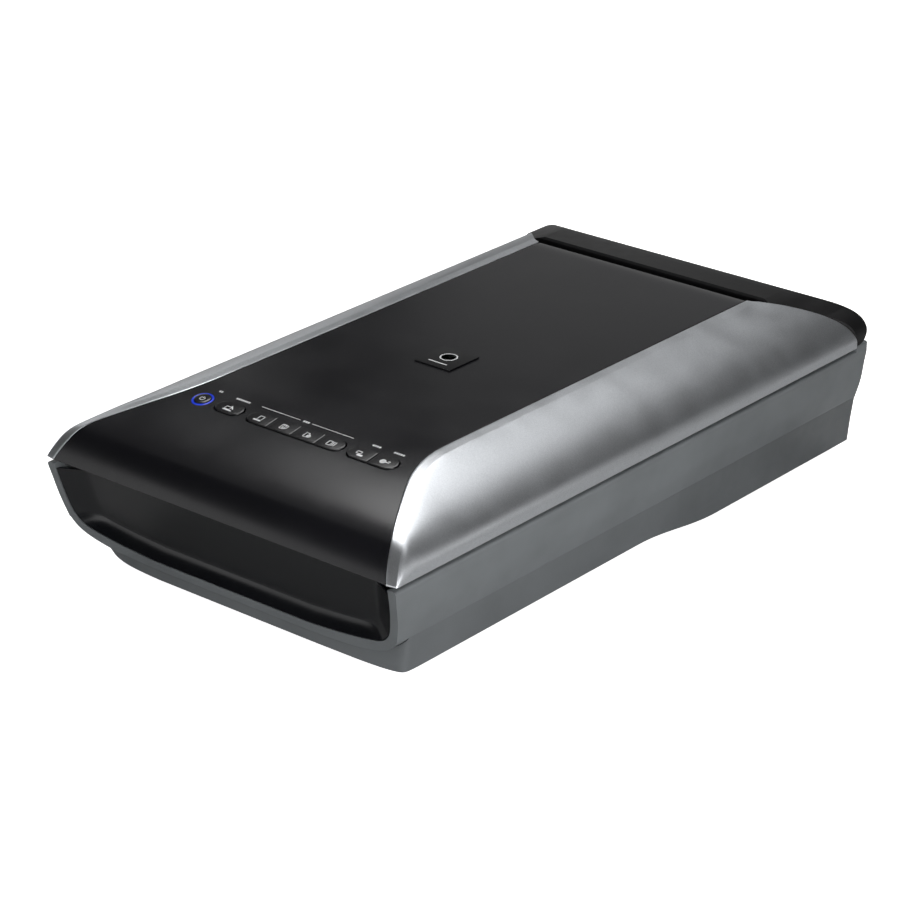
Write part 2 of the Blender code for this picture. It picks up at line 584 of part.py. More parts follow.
def lower_case():
    def ring(plan, xs, rear, z):
        pts = plan[:-1] + [(xs, plan[-1][1]), (xs, rear)]
        return [(x, y, z) for x, y in mirror(pts)] + [(x, y, z) for x, y in pts]

    def mix(t):
        return [(lerp(a[0], b[0], t), lerp(a[1], b[1], t)) for a, b in zip(PLAN_TOP, PLAN_LOW)]
    rings = [ring(mix(0.0), 128.0, 459.4, SEAM_Z - GAP), ring(mix(0.3), 127.3, 459.1, 30.0),
             ring(mix(0.66), 126.6, 458.7, 22.0), ring(mix(1.0), 126.0, 458.3, 14.5),
             ring(mix(1.35), 125.4, 458.0, 6.5)]
    ob = body("lower_case", loft(rings), colour=(0.09, 0.1, 0.105), rough=0.45)
    under = [(-10.0, FRONT_UNDER_Z)] + s_curve(0.0) + [(S_END_Y, 0.0), (-10.0, 0.0)]
    boolean(ob, cutter("front_under", extrude(under, "x", -150.0, 150.0)))
    room = [(33.0, FRONT_UNDER_Z + 2.6)] + s_curve(2.6)
    room += [(455.2, REAR_UNDER_Z + 2.6), (455.2, 60.0), (33.0, 60.0)]
    boolean(ob, cutter("lower_room", extrude(room, "x", -122.4, 122.4)))
    chin = [(x + 0.35, z - 0.35) for x, z in FRAME_OUT]
    chin = [(chin[0][0] + 4.0, 90.0)] + chin
    chin = mirror(chin) + chin
    boolean(ob, cutter("chin_room", leaned(chin, -9.0, FRAME_DEEP + 0.4)))
    # room behind the chin for the recess panel
    boolean(ob, cutter("panel_room", block(-121.5, 121.5, 17.0, 34.0, 25.4, 60.0)))
    for x in (-1, 1):
        boss = rod("z", x * 98.0, 50.0, 10.0, REAR_UNDER_Z, 16.0, 24)
        boolean(ob, cutter("foot_boss_%s" % ("left" if x < 0 else "right"), boss), "UNION")
    # screw bosses
    for k, (x, y) in enumerate(SCREWS):
        base = FRONT_UNDER_Z if y < 200 else REAR_UNDER_Z
        boolean(ob, cutter("boss_%d" % k, rod("z", x, y, 5.2, base + 1.0, 33.0, 24)), "UNION")
        boolean(ob, cutter("boss_sink_%d" % k, rod("z", x, y, 3.9, -5.0, base + 6.0, 24)))
        boolean(ob, cutter("boss_hole_%d" % k, rod("z", x, y, 1.9, -5.0, 40.0, 16)))
    # slot of the transport lock
    boolean(ob, cutter("lock_slot", block(78.0, 90.0, 404.0, 428.0, 0.0, 12.0)))
    # rests for the rod and the rail
    for name, x, half, top in (("rod_rest", ROD_X, 8.0, 34.0), ("rail_rest", RAIL_X, 6.0, 33.4)):
        for y in (42.0, 434.0):
            low = 15.5 if y < 200 else 7.5
            boolean(ob, cutter("%s_%d" % (name, y), block(x - half, x + half, y - 4.0, y + 4.0,
                                                            low, top)), "UNION")
    for y in (42.0, 434.0):
        boolean(ob, cutter("rod_seat_%d" % y, rod("y", ROD_X, ROD_Z, 4.3, y - 9.0, y + 9.0, 24)))
        boolean(ob, cutter("rod_way_%d" % y, block(ROD_X - 4.3, ROD_X + 4.3, y - 9.0, y + 9.0,
                                                     ROD_Z, 60.0)))
    return ob


SCREWS = [(-112.0, 90.0), (112.0, 90.0), (-112.0, 400.0), (112.0, 400.0)]
ROD_X, ROD_Z = -52.0, 31.0
RAIL_X = 98.0
BELT_X = -82.0
BELT_Z = 31.0
BELT_R, BELT_T = 6.3, 1.4


def front_recess_panel():
    """Glossy skin: back wall, lower shelf and the two curved ends of the hand recess."""
    def half_to_u(half):
        return [(-x, z) for x, z in half] + [(x, z) for x, z in reversed(half)]
    rim = [(FRAME_IN[0][0], 74.0)] + FRAME_IN
    rim = [(x - 0.35, z + (0.35 if z < 40 else 0.0)) for x, z in rim]
    outer, inner = half_to_u(rim), half_to_u(RECESS_BACK)
    rows = []
    for depth, f in ((0.6, 0.12), (4.4, 0.5), (6.4, 0.72), (7.7, 0.85), (8.5, 0.94), (8.9, 1.05)):
        line = [(lerp(x0, x1, f), lerp(z0, z1, f)) for (x0, z0), (x1, z1) in zip(outer, inner)]
        rows.append([(x, front_y(z) + depth, z) for x, z in line])
    skin = surface(rows)
    bmesh.ops.remove_doubles(skin, verts=skin.verts, dist=0.001)
    skin.verts.ensure_lookup_table()
    skin.faces.new(skin.verts[-len(outer):])
    ob = body("front_recess_panel", skin, colour=BLACK, rough=0.1)
    face_to(ob, Vector((0.0, -1.0, 0.0)))
    thicken(ob, 1.0)
    boolean(ob, cutter("panel_top", block(-150, 150, -20, 60, 70.2, 90)))
    return ob


def glass_and_strip():
    body("platen_glass", block(-GLASS_X - 6.0, GLASS_X + 6.0, GLASS_Y0 - 6.0, GLASS_Y1 + 6.0, 71.0,
                                 73.5), colour=(0.75, 0.85, 0.85), rough=0.03, alpha=0.35)
    body("calibration_strip", block(-GLASS_X - 6.0, GLASS_X + 6.0, GLASS_Y1 + 6.4, GLASS_Y1 + 30.0,
                                     71.0, 73.2), colour=(0.9, 0.9, 0.9), rough=0.6)


def belt_outline(r, y0, y1, n=16):
    """Outline of the belt's loop round both pulleys: (x, y)."""
    front = [(BELT_X + r * math.cos(a), y0 + r * math.sin(a))
             for a in [-math.pi + math.pi * i / n for i in range(n + 1)]]
    rear = [(BELT_X + r * math.cos(a), y1 + r * math.sin(a))
            for a in [math.pi * i / n for i in range(n + 1)]]
    return front + rear


def transport():
    body("guide_rod", rod("y", ROD_X, ROD_Z, 4.0, 36.0, 446.0, 32), colour=(0.7, 0.7, 0.7),
         rough=0.15, metal=1.0)
    body("guide_rail", block(RAIL_X - 5.0, RAIL_X + 5.0, 37.0, 440.0, 33.7, 36.2), metal=0.9,
         colour=(0.6, 0.6, 0.6), rough=0.3)
    y0, y1 = 52.0, 432.0
    ob = body("drive_belt", extrude(belt_outline(BELT_R + BELT_T, y0, y1), "z", BELT_Z - 3.0,
                                    BELT_Z + 3.0), colour=(0.02, 0.02, 0.02), rough=0.7)
    boolean(ob, cutter("belt_inside", extrude(belt_outline(BELT_R, y0, y1), "z", 20.0, 40.0)))
    wheel = [(24.0, 2.0), (24.0, 7.4), (26.0, 7.4), (26.8, 6.0), (35.2, 6.0), (36.0, 7.4),
             (38.0, 7.4)]
    turned("idler_pulley", "z", BELT_X, y0, [(18.2, 2.0)] + wheel, colour=(0.75, 0.75, 0.72))
    turned("drive_pulley", "z", BELT_X, y1, [(23.2, 2.0)] + wheel, colour=(0.6, 0.55, 0.35),
           rough=0.3, metal=0.9)
    turned("stepper_motor", "z", BELT_X, y1, [(9.6, 17.0), (10.4, 17.6), (21.6, 17.6), (22.4, 17.0)],
           colour=(0.35, 0.35, 0.36), rough=0.35, metal=0.9)
    ob = body("idler_bracket", block(BELT_X - 12.0, BELT_X + 12.0, y0 - 9.0, y0 + 12.0, 17.4, 20.4),
              colour=(0.5, 0.5, 0.5), rough=0.35, metal=0.9)
    boolean(ob, cutter("idler_hole", rod("z", BELT_X, y0, 2.4, 10.0, 30.0, 24)))
    ob = body("motor_bracket", block(BELT_X - 20.0, BELT_X + 21.0, 406.0, 454.0, 22.7, 24.0 - 0.4),
              colour=(0.55, 0.55, 0.55), rough=0.35, metal=0.9)
    boolean(ob, cutter("bracket_hole", rod("z", BELT_X, y1, 4.0, 10.0, 30.0, 24)))


def carriage():
    home = (0.0, CARRIAGE_Y, 40.0)
    y0, y1 = CARRIAGE_Y - 24.0, CARRIAGE_Y + 24.0
    ob = body("carriage_housing", block(-108.0, 108.0, y0, y1, 37.4, 68.0),
              colour=(0.02, 0.02, 0.022), rough=0.5, origin=home)
    boolean(ob, cutter("carriage_room", block(-105.6, 105.6, y0 + 2.4, y1 - 2.4, 39.8, 66.0)))
    boolean(ob, cutter("carriage_slit", block(-104.0, 104.0, CARRIAGE_Y - 5.0, CARRIAGE_Y + 14.0,
                                                60.0, 80.0)))
    # bearing below for the guide rod, foot for the rail
    boolean(ob, cutter("rod_block", block(ROD_X - 8.0, ROD_X + 8.0, y0 + 3.0, y1 - 3.0, 25.6,
                                            38.0)), "UNION")
    boolean(ob, cutter("rod_bore", rod("y", ROD_X, ROD_Z, 4.06 + 0.04, y0 - 5, y1 + 5, 32)))
    boolean(ob, cutter("rail_foot", block(RAIL_X - 4.0, RAIL_X + 4.0, CARRIAGE_Y - 8.0,
                                            CARRIAGE_Y + 8.0, 36.5, 38.0)), "UNION")
    body("belt_clamp", block(BELT_X + 8.0, BELT_X + 14.0, CARRIAGE_Y - 8.0, CARRIAGE_Y + 8.0,
                              27.0, 37.0), colour=(0.7, 0.7, 0.68), rough=0.45, origin=home)
    body("led_light_bar", block(-102.0, 102.0, CARRIAGE_Y + 8.0, CARRIAGE_Y + 13.0, 60.5, 67.4),
         colour=(0.9, 0.92, 0.95), rough=0.3, origin=home)
    for k, (cy, cz, tilt, w) in enumerate(((CARRIAGE_Y, 46.0, 45, 7.0),
                                           (CARRIAGE_Y - 16.0, 46.5, -52, 7.0),
                                           (CARRIAGE_Y + 15.0, 53.5, 60, 6.0)), 1):
        a = math.radians(tilt)
        dy, dz = w * math.cos(a), w * math.sin(a)
        ny, nz = -math.sin(a) * 1.0, math.cos(a) * 1.0
        pts = [(cy - dy / 2, cz - dz / 2), (cy + dy / 2, cz + dz / 2),
               (cy + dy / 2 + ny, cz + dz / 2 + nz), (cy - dy / 2 + ny, cz - dz / 2 + nz)]
        body("mirror_%d" % k, extrude(pts, "x", -103.0, 103.0), colour=(0.9, 0.9, 0.9),
             rough=0.03, metal=1.0, origin=home)
    turned("lens_barrel", "y", 0.0, 49.0, [(CARRIAGE_Y - 12.0, 6.0), (CARRIAGE_Y - 10.0, 7.0),
                                           (CARRIAGE_Y - 5.4, 7.0), (CARRIAGE_Y - 4.4, 5.6)],
           colour=(0.03, 0.03, 0.03), rough=0.3)
    body("sensor_board", block(-40.0, 40.0, CARRIAGE_Y - 21.2, CARRIAGE_Y - 19.6, 42.0, 60.0),
         colour=(0.02, 0.14, 0.06), rough=0.5, origin=home)


def electronics():
    body("main_board", block(-40.0, 76.0, 200.0, 300.0, 17.6, 19.2), colour=(0.02, 0.14, 0.06),
         rough=0.5)
    ob = body("usb_port", block(-41.6, -28.4, 448.0, 458.8, 44.4, 55.6), colour=(0.6, 0.6, 0.6),
              rough=0.3, metal=0.9)
    boolean(ob, cutter("usb_room", block(-40.0, -30.0, 450.0, 470.0, 45.8, 54.2)))
    ob = body("power_jack", block(-67.6, -56.4, 446.0, 458.8, 44.0, 56.0),
              colour=(0.03, 0.03, 0.03), rough=0.4)
    boolean(ob, cutter("jack_room", rod("y", -62.0, 50.0, 3.2, 449.0, 470.0, 24)))


def feet_and_screws():
    for name, x, y in (("foot_front_left", -98.0, 50.0), ("foot_front_right", 98.0, 50.0),
                       ("foot_rear_left", -98.0, 440.0), ("foot_rear_right", 98.0, 440.0)):
        turned(name, "z", x, y, [(0.0, 7.6), (0.6, 8.2), (6.2, 8.6)], 28,
               colour=(0.03, 0.03, 0.03), rough=0.8)
    for k, (x, y) in enumerate(SCREWS, 1):
        base = FRONT_UNDER_Z if y < 200 else REAR_UNDER_Z
        turned("case_screw_%d" % k, "z", x, y, [(base + 3.4, 3.2), (base + 5.7, 3.4),
                                                 (base + 5.7, 1.5), (30.0, 1.5)], 20,
               colour=(0.55, 0.55, 0.55), rough=0.3, metal=1.0)


def transport_lock():
    at = (84.0, 412.0, 8.0)
    ob = body("transport_lock", block(78.4, 89.6, 404.4, 417.6, 6.7, 8.9), colour=(0.6, 0.6, 0.6),
              rough=0.5, origin=at)
    boolean(ob, cutter("lock_plate", block(76.0, 92.0, 403.0, 421.0, 9.4, 11.0)), "UNION")
    boolean(ob, cutter("lock_neck", block(79.4, 88.6, 405.0, 417.0, 8.0, 10.0)), "UNION")
    boolean(ob, cutter("lock_tongue", block(81.0, 87.0, 405.0, 411.0, 10.5, 30.0)), "UNION")
    return ob


def badge():
    return body("badge_plate", block(-12.0, 16.0, 187.5, 215.5, 111.1, 111.7), rough=0.15,
                colour=(0.02, 0.02, 0.02), origin=(0, HINGE_Y, HINGE_Z))


def group(name, at, members):
    """Empty on the joint's axis that carries a moving body's parts."""
    empty = bpy.data.objects.new(name, None)
    empty.location = P(*at)
    empty.empty_display_size = 0.02
    parts.objects.link(empty)
    for member in members:
        ob = bpy.data.objects[member]
        ob.parent = empty
        ob.matrix_parent_inverse = Matrix.Translation(-empty.location)
    return empty


lid_top_panel()
lid_trim("lid_trim_left", -1)
lid_trim("lid_trim_right", 1)
hinge_cover()
lid_inner_frame()
for spec in BUTTONS:
    button(*spec)
power_button()
power_light_ring()
button_board()
film_light()
for tag, s in (("left", -1), ("right", 1)):
    hinge_bracket("hinge_bracket_" + tag, s)
    hinge_post("hinge_post_" + tag, s)
upper_case()
lower_case()
front_recess_panel()
glass_and_strip()
transport()
carriage()
electronics()
feet_and_screws()
transport_lock()
badge()

group("lid_hinge_axis", (0.0, HINGE_Y, HINGE_Z),
      ["lid_top_panel", "lid_trim_left", "lid_trim_right", "hinge_cover", "lid_inner_frame",
       "film_light_window", "film_light_panel", "document_mat", "button_board", "power_light_ring",
       "hinge_bracket_left", "hinge_bracket_right", "badge_plate"])
group("carriage_home", (0.0, CARRIAGE_Y, 40.0),
      ["carriage_housing", "belt_clamp", "led_light_bar", "mirror_1", "mirror_2", "mirror_3",
       "lens_barrel", "sensor_board"])
group("post_slide", (0.0, HINGE_Y, 30.0),
      ["hinge_post_left", "hinge_post_right", "hinge_pin_left", "hinge_pin_right"])
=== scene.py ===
"""Looks of the flatbed scanner: fine outer skins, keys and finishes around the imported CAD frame.

Lengths below are millimetres: x from the centre line (right is +), y from the lid's front edge
towards the rear, z up from the table. make() turns them into the frame's metres.
"""
import math

import bmesh
import bpy
import numpy as np
from mathutils import Matrix, Vector


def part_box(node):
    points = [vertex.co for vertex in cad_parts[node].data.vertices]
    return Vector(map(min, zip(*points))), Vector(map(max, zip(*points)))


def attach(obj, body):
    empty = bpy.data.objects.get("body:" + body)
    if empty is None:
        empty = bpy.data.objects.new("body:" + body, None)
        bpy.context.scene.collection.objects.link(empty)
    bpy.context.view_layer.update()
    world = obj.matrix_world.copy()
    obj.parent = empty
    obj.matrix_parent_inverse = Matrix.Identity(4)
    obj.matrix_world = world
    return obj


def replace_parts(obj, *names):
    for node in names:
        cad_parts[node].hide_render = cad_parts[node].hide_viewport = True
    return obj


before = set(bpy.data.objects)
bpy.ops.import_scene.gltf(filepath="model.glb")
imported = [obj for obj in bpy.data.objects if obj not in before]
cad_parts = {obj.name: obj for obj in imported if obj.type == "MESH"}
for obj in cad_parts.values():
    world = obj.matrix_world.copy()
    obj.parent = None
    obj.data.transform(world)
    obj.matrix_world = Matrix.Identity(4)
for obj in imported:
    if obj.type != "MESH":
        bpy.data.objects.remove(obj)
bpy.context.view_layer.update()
FRONT_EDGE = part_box("lid_top_panel")[0].y
MM = 0.001
WELD, CLEAN = 0.000002, 0.00002  # metres

# ---------------------------------------------------------------- driving dimensions (mm)
HALF_W = 136.0
LID_EDGE_Z = 76.5
SHOULDER_Z, SHOULDER_Y = 77.5, 447.4
SEAM_Z = 36.5
REAR_Y = 459.8
FRONT_UNDER_Z, REAR_UNDER_Z = 14.5, 6.5
S_START_Y, S_END_Y = 232.0, 312.0
HINGE_Y, HINGE_Z, HINGE_R = 448.5, 89.0, 11.0
POST_X = 88.0
POST_GAP = 8.8  # half-width of the cover's slot round a hinge post
POST_WELL = (8.5, 5.5)  # half-sizes of the post's well in the case
PANEL_T = 2.2
TRIM_T = 1.6
RECESS_T = 0.8
FRONT_TOP_Y, FRONT_TOP_Z, FRONT_LEAN = 1.4, 70.7, 0.245
FRAME_DEEP = 10.6

# lid top, front to rear: (y, z, half-width of the black panel, width of the bevel, its drop)
LID_ROWS = [
    (0.0, 76.9, 128.75, 6.3, 0.0), (1.0, 78.6, 127.9, 6.6, 0.3), (3.0, 81.9, 126.6, 6.8, 0.8),
    (6.0, 86.0, 124.6, 7.1, 1.2), (10.0, 90.6, 122.4, 7.1, 1.6), (14.5, 94.3, 119.9, 7.2, 1.8),
    (20.0, 96.9, 116.5, 7.2, 1.9), (28.0, 99.4, 111.5, 7.2, 1.8), (42.0, 102.9, 103.2, 7.2, 0.9),
    (54.0, 105.6, 96.3, 7.2, 0.6), (65.0, 107.8, 90.3, 7.2, 0.5), (79.0, 109.7, 85.5, 7.1, 0.4),
    (92.0, 110.6, 83.4, 7.0, 0.3), (104.0, 110.8, 83.15, 7.0, 0.3), (118.0, 110.8, 83.15, 7.0, 0.3),
]
PANEL_TAIL = [(200.0, 110.8, 83.15), (300.0, 110.8, 83.15), (380.0, 110.8, 83.15),
              (391.0, 110.8, 83.15), (396.5, 110.4, 83.15), (400.0, 109.4, 83.15),
              (402.0, 107.6, 83.15), (402.5, 105.0, 83.15), (402.5, 98.2, 83.15)]
PANEL_LIP = [(0.75, LID_EDGE_Z, 128.6), (0.3, 76.53, 128.6), (0.08, 76.68, 128.6)]
# rounding of the panel's long edges: (inset, drop)
PANEL_EDGE = [(0.0, 0.35), (0.08, 0.12), (0.3, 0.02), (0.8, 0.0), (6.0, 0.0)]
# trims: rounded inner lip, steps across the bevel, then a curve down to the side face
TRIM_LIP = [(0.35, 0.02, -0.5), (0.42, 0.0, -0.12), (0.7, 0.0, -0.02)]
BEVEL_START, BEVEL_STEPS = 0.4, (0.2, 0.5, 0.8, 0.94)
TRIM_SIDE_TOP, TRIM_SIDE_SHARE = 80.5, 0.3
TRIM_REACH, TRIM_SPAN = 20.0, 45.8
TRIM_RISE, TRIM_FALL = 10.0, 30.0
RIDGE_LAG = 1.2
CURVE_STEPS, CURVE_POWER = 26, 1.15
TAIL_STEPS, TAIL_POWER = 40, 1.6
TRIM_FOOT = [(-0.05, 0.1), (-0.5, 0.0)]
TRIM_GAP = 0.6
# front rows of a trim: (y at the panel, y at the side face)
NOSE_ENDS = [(0.0, 4.0), (1.0, 4.6), (3.0, 6.0), (6.0, 8.2), (10.0, 11.6), (14.5, 15.6),
             (20.0, 20.6)]
# rear end of a trim: (x, y)
TRIM_END = [(83.0, 397.0), (87.8, 399.0), (91.2, 401.8), (99.8, 411.6), (108.6, 421.2),
            (117.3, 431.2), (126.3, 440.0), (130.3, 443.0), (134.8, 445.2), (136.1, 446.6)]
# halves of the case seen from the front: (x, z)
WALL = [(133.4, 73.6), (134.6, 73.3), (135.2, 72.2), (134.9, 69.6), (134.2, 65.8), (133.4, 61.0),
        (132.6, 54.0), (131.7, 49.5), (130.6, 45.4), (129.3, 41.0), (128.0, 36.8)]
FRAME_OUT = [(134.7, 71.4), (133.7, 62.2), (132.7, 54.0), (130.6, 45.4), (127.9, 37.6),
             (125.2, 33.8), (120.8, 30.3), (116.1, 28.0), (108.4, 25.9), (98.6, 23.9),
             (84.4, 22.4), (60.0, 21.6)]
FRAME_IN = [(129.4, 73.8), (129.3, 70.8), (128.6, 62.8), (127.1, 53.4), (125.1, 44.7),
            (122.8, 39.9), (119.9, 36.8), (116.1, 34.4), (110.6, 32.9), (101.9, 31.4),
            (87.3, 29.2), (60.0, 27.2)]
RECESS_BACK = [(113.6, 74.0), (113.4, 70.8), (112.6, 62.0), (112.0, 54.0), (111.0, 47.6),
               (109.4, 44.2), (106.6, 41.6), (102.4, 39.6), (96.6, 38.2), (88.0, 37.0),
               (76.0, 35.8), (56.0, 34.6)]
# steps of the recess from the frame inwards: (depth, share of the way to the back outline)
RECESS_STEPS = [(0.4, 0.03), (2.4, 0.24), (4.4, 0.46), (6.2, 0.68), (7.4, 0.86), (8.2, 1.0),
                (8.7, 1.13), (8.9, 1.26)]
RECESS_DEPTH, RECESS_TOP_Z = 8.9, 73.9
ABOVE_RECESS = (-150.0, 150.0, -20.0, 60.0, 70.4, 90.0)
# front half of the lower case from above, at the seam and underneath: (x, y)
PLAN_TOP = [(60.0, 17.5), (97.0, 17.9), (110.4, 18.5), (121.0, 19.0), (126.6, 19.8), (128.0, 23.0),
            (128.0, 40.0), (128.0, 80.0)]
PLAN_LOW = [(60.0, 14.5), (96.9, 14.8), (110.4, 15.7), (119.5, 16.9), (124.6, 18.6), (126.0, 22.5),
            (126.0, 40.0), (126.0, 80.0)]
# the left front corner is drawn in further than the right one
PLAN_LEFT = [(60.0, 14.6), (78.0, 15.5), (91.0, 17.4), (101.0, 20.4), (110.0, 25.0), (118.0, 33.0),
             (123.4, 46.0), (126.0, 80.0)]
# sections of the lower case: (share of the way to the underside plan, half-width, rear y, z)
LOW_SECTIONS = [(0.0, 128.0, REAR_Y, SEAM_Z + 0.25), (0.3, 127.3, 459.4, 30.0),
                (0.66, 126.6, 458.7, 22.0), (1.0, 126.0, 458.3, 14.5), (1.35, 125.4, 458.0, 6.5)]
LOW_FLOOR = 2.6
TRAY_ROOMS = [(-122.4, 122.4, 84.0, 455.2, FRONT_UNDER_Z + LOW_FLOOR, 60.0),
              (-100.0, 122.4, 33.0, 86.0, FRONT_UNDER_Z + LOW_FLOOR, 60.0)]
CHIN_ROOM = (-96.0, 121.5, 19.6, 34.0, 25.4, 60.0)
SWEEP_STEPS = 32
GLASS_SEAT = (-118.3, 118.3, 55.7, 406.3, 70.8, 80.0)
GLASS_OPENING = (-112.0, 112.0, 62.0, 400.0, 60.0, 80.0)
USB_OPENING = (-42.0, -28.0, 450.0, 470.0, 44.0, 56.0)
POWER_OPENING = (-68.0, -56.0, 450.0, 470.0, 43.5, 56.5)
# hinge cover from the side: (y, z), and its end from behind: (x, z)
COVER = [(408.7, 94.0), (408.7, 108.2), (410.0, 109.5), (425.0, 109.5), (433.0, 109.0),
         (440.0, 106.2), (447.0, 103.0), (453.0, 100.2), (457.0, 97.4), (459.2, 94.4),
         (459.6, 91.2)]
COVER_END = [(88.0, 109.6), (96.0, 107.2), (100.0, 105.6), (105.0, 103.6), (112.0, 101.3),
             (117.0, 99.2), (123.0, 96.8), (129.0, 93.6), (133.3, 89.6), (135.5, 85.0),
             (136.0, 77.0)]
COVER_FOOT = [(437.0, 79.8), (409.6, 79.8), (408.7, 80.6)]
COVER_ROOM = [(411.2, 70.0), (411.2, 103.4), (434.0, 103.4), (440.0, 102.8), (446.0, 100.8),
              (450.8, 97.4), (454.5, 93.4), (456.4, 91.0), (455.0, 82.6), (448.5, 80.2),
              (437.5, 81.4), (437.5, 70.0)]
COVER_HALF, COVER_ROOM_HALF = 136.4, 100.0
POST_SLOT = (441.0, 470.0, 70.0, 96.0)
GROOVE_FLOOR = (-80.0, 80.0, 396.0, 411.0, 93.6, 95.8)

# keys: centre line, slope and half-width of a key
BUTTON_Y, BUTTON_Z = 68.0, 108.2
BUTTON_TILT = math.radians(9.0)
BUTTON_HALF = 5.6
KEY_GAP = 0.7
SLOT_REACH = (-6.0, 4.0)
KEY_SLOTS = [(-50.0, 10.65), (1.95, 37.25), (60.6, 18.55)]
# profiles: (inset, height) of a key's rim and of the power key, (radius, height) of its ring
KEY_RIM = [(0.0, -3.0), (0.0, 0.25), (0.08, 0.5), (0.3, 0.66), (0.7, 0.7)]
KEY_CORNER = 0.5
POWER_X, POWER_R, POWER_SLOT_R = -72.0, 5.3, 7.0
POWER_RIM = [(0.0, -3.0), (0.0, 0.3), (0.1, 0.55), (0.4, 0.7), (2.5, 0.62)]
POWER_RING = [(6.7, -4.0), (6.7, 0.1), (6.5, 0.25), (5.8, 0.25), (5.7, 0.1), (5.7, -4.0)]
# name, centre, half-length, round left end, round right end
KEYS = [("scan_button", -50.0, 9.95, True, True), ("file_button_1", -25.65, 8.95, True, False),
        ("file_button_2", -7.05, 9.0, False, False), ("file_button_3", 11.45, 9.0, False, False),
        ("file_button_4", 29.7, 8.8, False, True), ("copy_button", 51.5, 8.75, True, False),
        ("mail_button", 69.75, 8.7, False, True)]
INK_UNDER, INK_OVER = 0.03, 0.02
MARK_SCALE = 1.25
LABEL_BACK, LABEL_LIFT, LABEL_DASH = 13.0, 0.12, (1.05, 1.5)
MARK_H, POWER_MARK_H = 0.72, 0.66
BADGE = (2.0, 201.5, 28.0)
BADGE_LOW, BADGE_TOP = 111.0, 111.65
BADGE_INK = (111.6, 111.68)

# ---------------------------------------------------------------- camera and studio
CAMERA_AZIMUTH, CAMERA_ELEVATION = 39.94, 23.95
CAMERA_PLACE = (1.11891, -1.35231, 0.82060)
CAMERA_LENS, CAMERA_SENSOR, CAMERA_FAR = 122.6, 36.0, 50.0
LAMP_SPREAD, LAMP_AIM = 0.41, Vector((0.0, 0.0, 0.08))
# softboxes: name, azimuth in degrees from the right-hand side round past the rear, elevation in
# degrees, distance in metres, watts
LAMPS = [("rear_high", 90, 60, 2.2, 6.3), ("rear_left_high", 135, 60, 2.2, 19.0),
         ("right_front", 330, 12, 1.2, 4.8), ("front_right", 315, 14, 1.2, 3.6),
         ("right_side", 345, 14, 1.2, 1.75), ("rear_low", 120, 12, 2.2, 0.9),
         ("rear_right_high", 45, 60, 2.2, 2.1), ("right_low", 30, 12, 2.2, 2.3),
         ("left_rear_low", 150, 12, 2.2, 1.6), ("front_high", 300, 40, 1.8, 1.3),
         ("left_high", 180, 60, 2.2, 0.6), ("front_left_low", 232, 13, 1.6, 1.4),
         ("left_low", 168, 7, 2.2, 1.4), ("front_low", 256, 7, 1.6, 2.0)]
FLOOR_HALF, FLOOR_TONE, FLOOR_GLOW = 9000.0, 0.92, 1.0
BOUNCE_Z, BOUNCE_TONE = -0.6, 0.5
GLOW_DISTANCE, GLOW_STRENGTH = (0.9, 2.2), (0.0, 0.06)
SKY_HEIGHT, SKY_STRENGTH, SKY_TINT = (0.15, 0.85), (0.015, 0.01), (0.96, 0.98, 1.0, 1.0)

# ---------------------------------------------------------------- finish numbers
PLASTIC_IOR = 1.5
GRAIN_STRENGTH = 0.25
TONE_CELLS, GLOSS_CELLS = 14.0, 90.0
GLOSS_TONE_CELLS, HAZE_CELLS, WAVE_CELLS = 9.0, 26.0, 60.0
FLAKE_CELLS, PAINT_CELLS, PAINT_GRAIN = 4200.0, 55.0, 3000.0
NOISE_MIDDLE = (0.3, 0.7)  # where nearly all of the noise lies
TINT_FROM, TINT_TO = 0.35, 0.65
SAME_WAY = 0.93  # cosine under which a face no longer belongs to the smooth profile
SKIN_SHARP = 50.0  # degrees


def lerp(a, b, t):
    return a + (b - a) * t


def interp(table, x):
    return float(np.interp(x, [p[0] for p in table], [p[1] for p in table]))


def spline(points, per=6):
    """Smooth run past a few control points that meets both ends: a cubic B-spline."""
    pts = [np.array(p, float) for p in points]
    pts = [2 * pts[0] - pts[1]] + pts + [2 * pts[-1] - pts[-2]]
    out = []
    for a, b, c, d in zip(pts, pts[1:], pts[2:], pts[3:]):
        for k in range(per):
            t = k / per
            out.append(((1 - t) ** 3 * a + (3 * t ** 3 - 6 * t * t + 4) * b
                        + (1 + 3 * t + 3 * t * t - 3 * t ** 3) * c + t ** 3 * d) / 6)
    out.append(pts[-2])
    return [tuple(p) for p in out]


def mirror(points):
    return [(-x, y) for x, y in reversed(points)]


# ---------------------------------------------------------------- mesh helpers
def make(name, bm, material=None, smooth=35.0):
    """Object from a bmesh in millimetres."""
    bmesh.ops.transform(bm, verts=bm.verts,
                        matrix=Matrix.Translation((0, FRONT_EDGE, 0)) @ Matrix.Scale(MM, 4))
    bmesh.ops.remove_doubles(bm, verts=bm.verts, dist=WELD)
    bmesh.ops.recalc_face_normals(bm, faces=bm.faces)
    me = bpy.data.meshes.new(name)
    bm.to_mesh(me)
    bm.free()
    ob = bpy.data.objects.new(name, me)
    bpy.context.scene.collection.objects.link(ob)
    if material:
        me.materials.append(material)
    shade(ob, smooth)
    return ob


def shade(ob, angle):
    """Smooth shading that breaks at edges sharper than an angle in degrees."""
    ob.data.shade_smooth()
    ob.data.set_sharp_from_angle(angle=math.radians(angle))


def repaint(ob, material):
    ob.data.materials.clear()
    ob.data.materials.append(material)


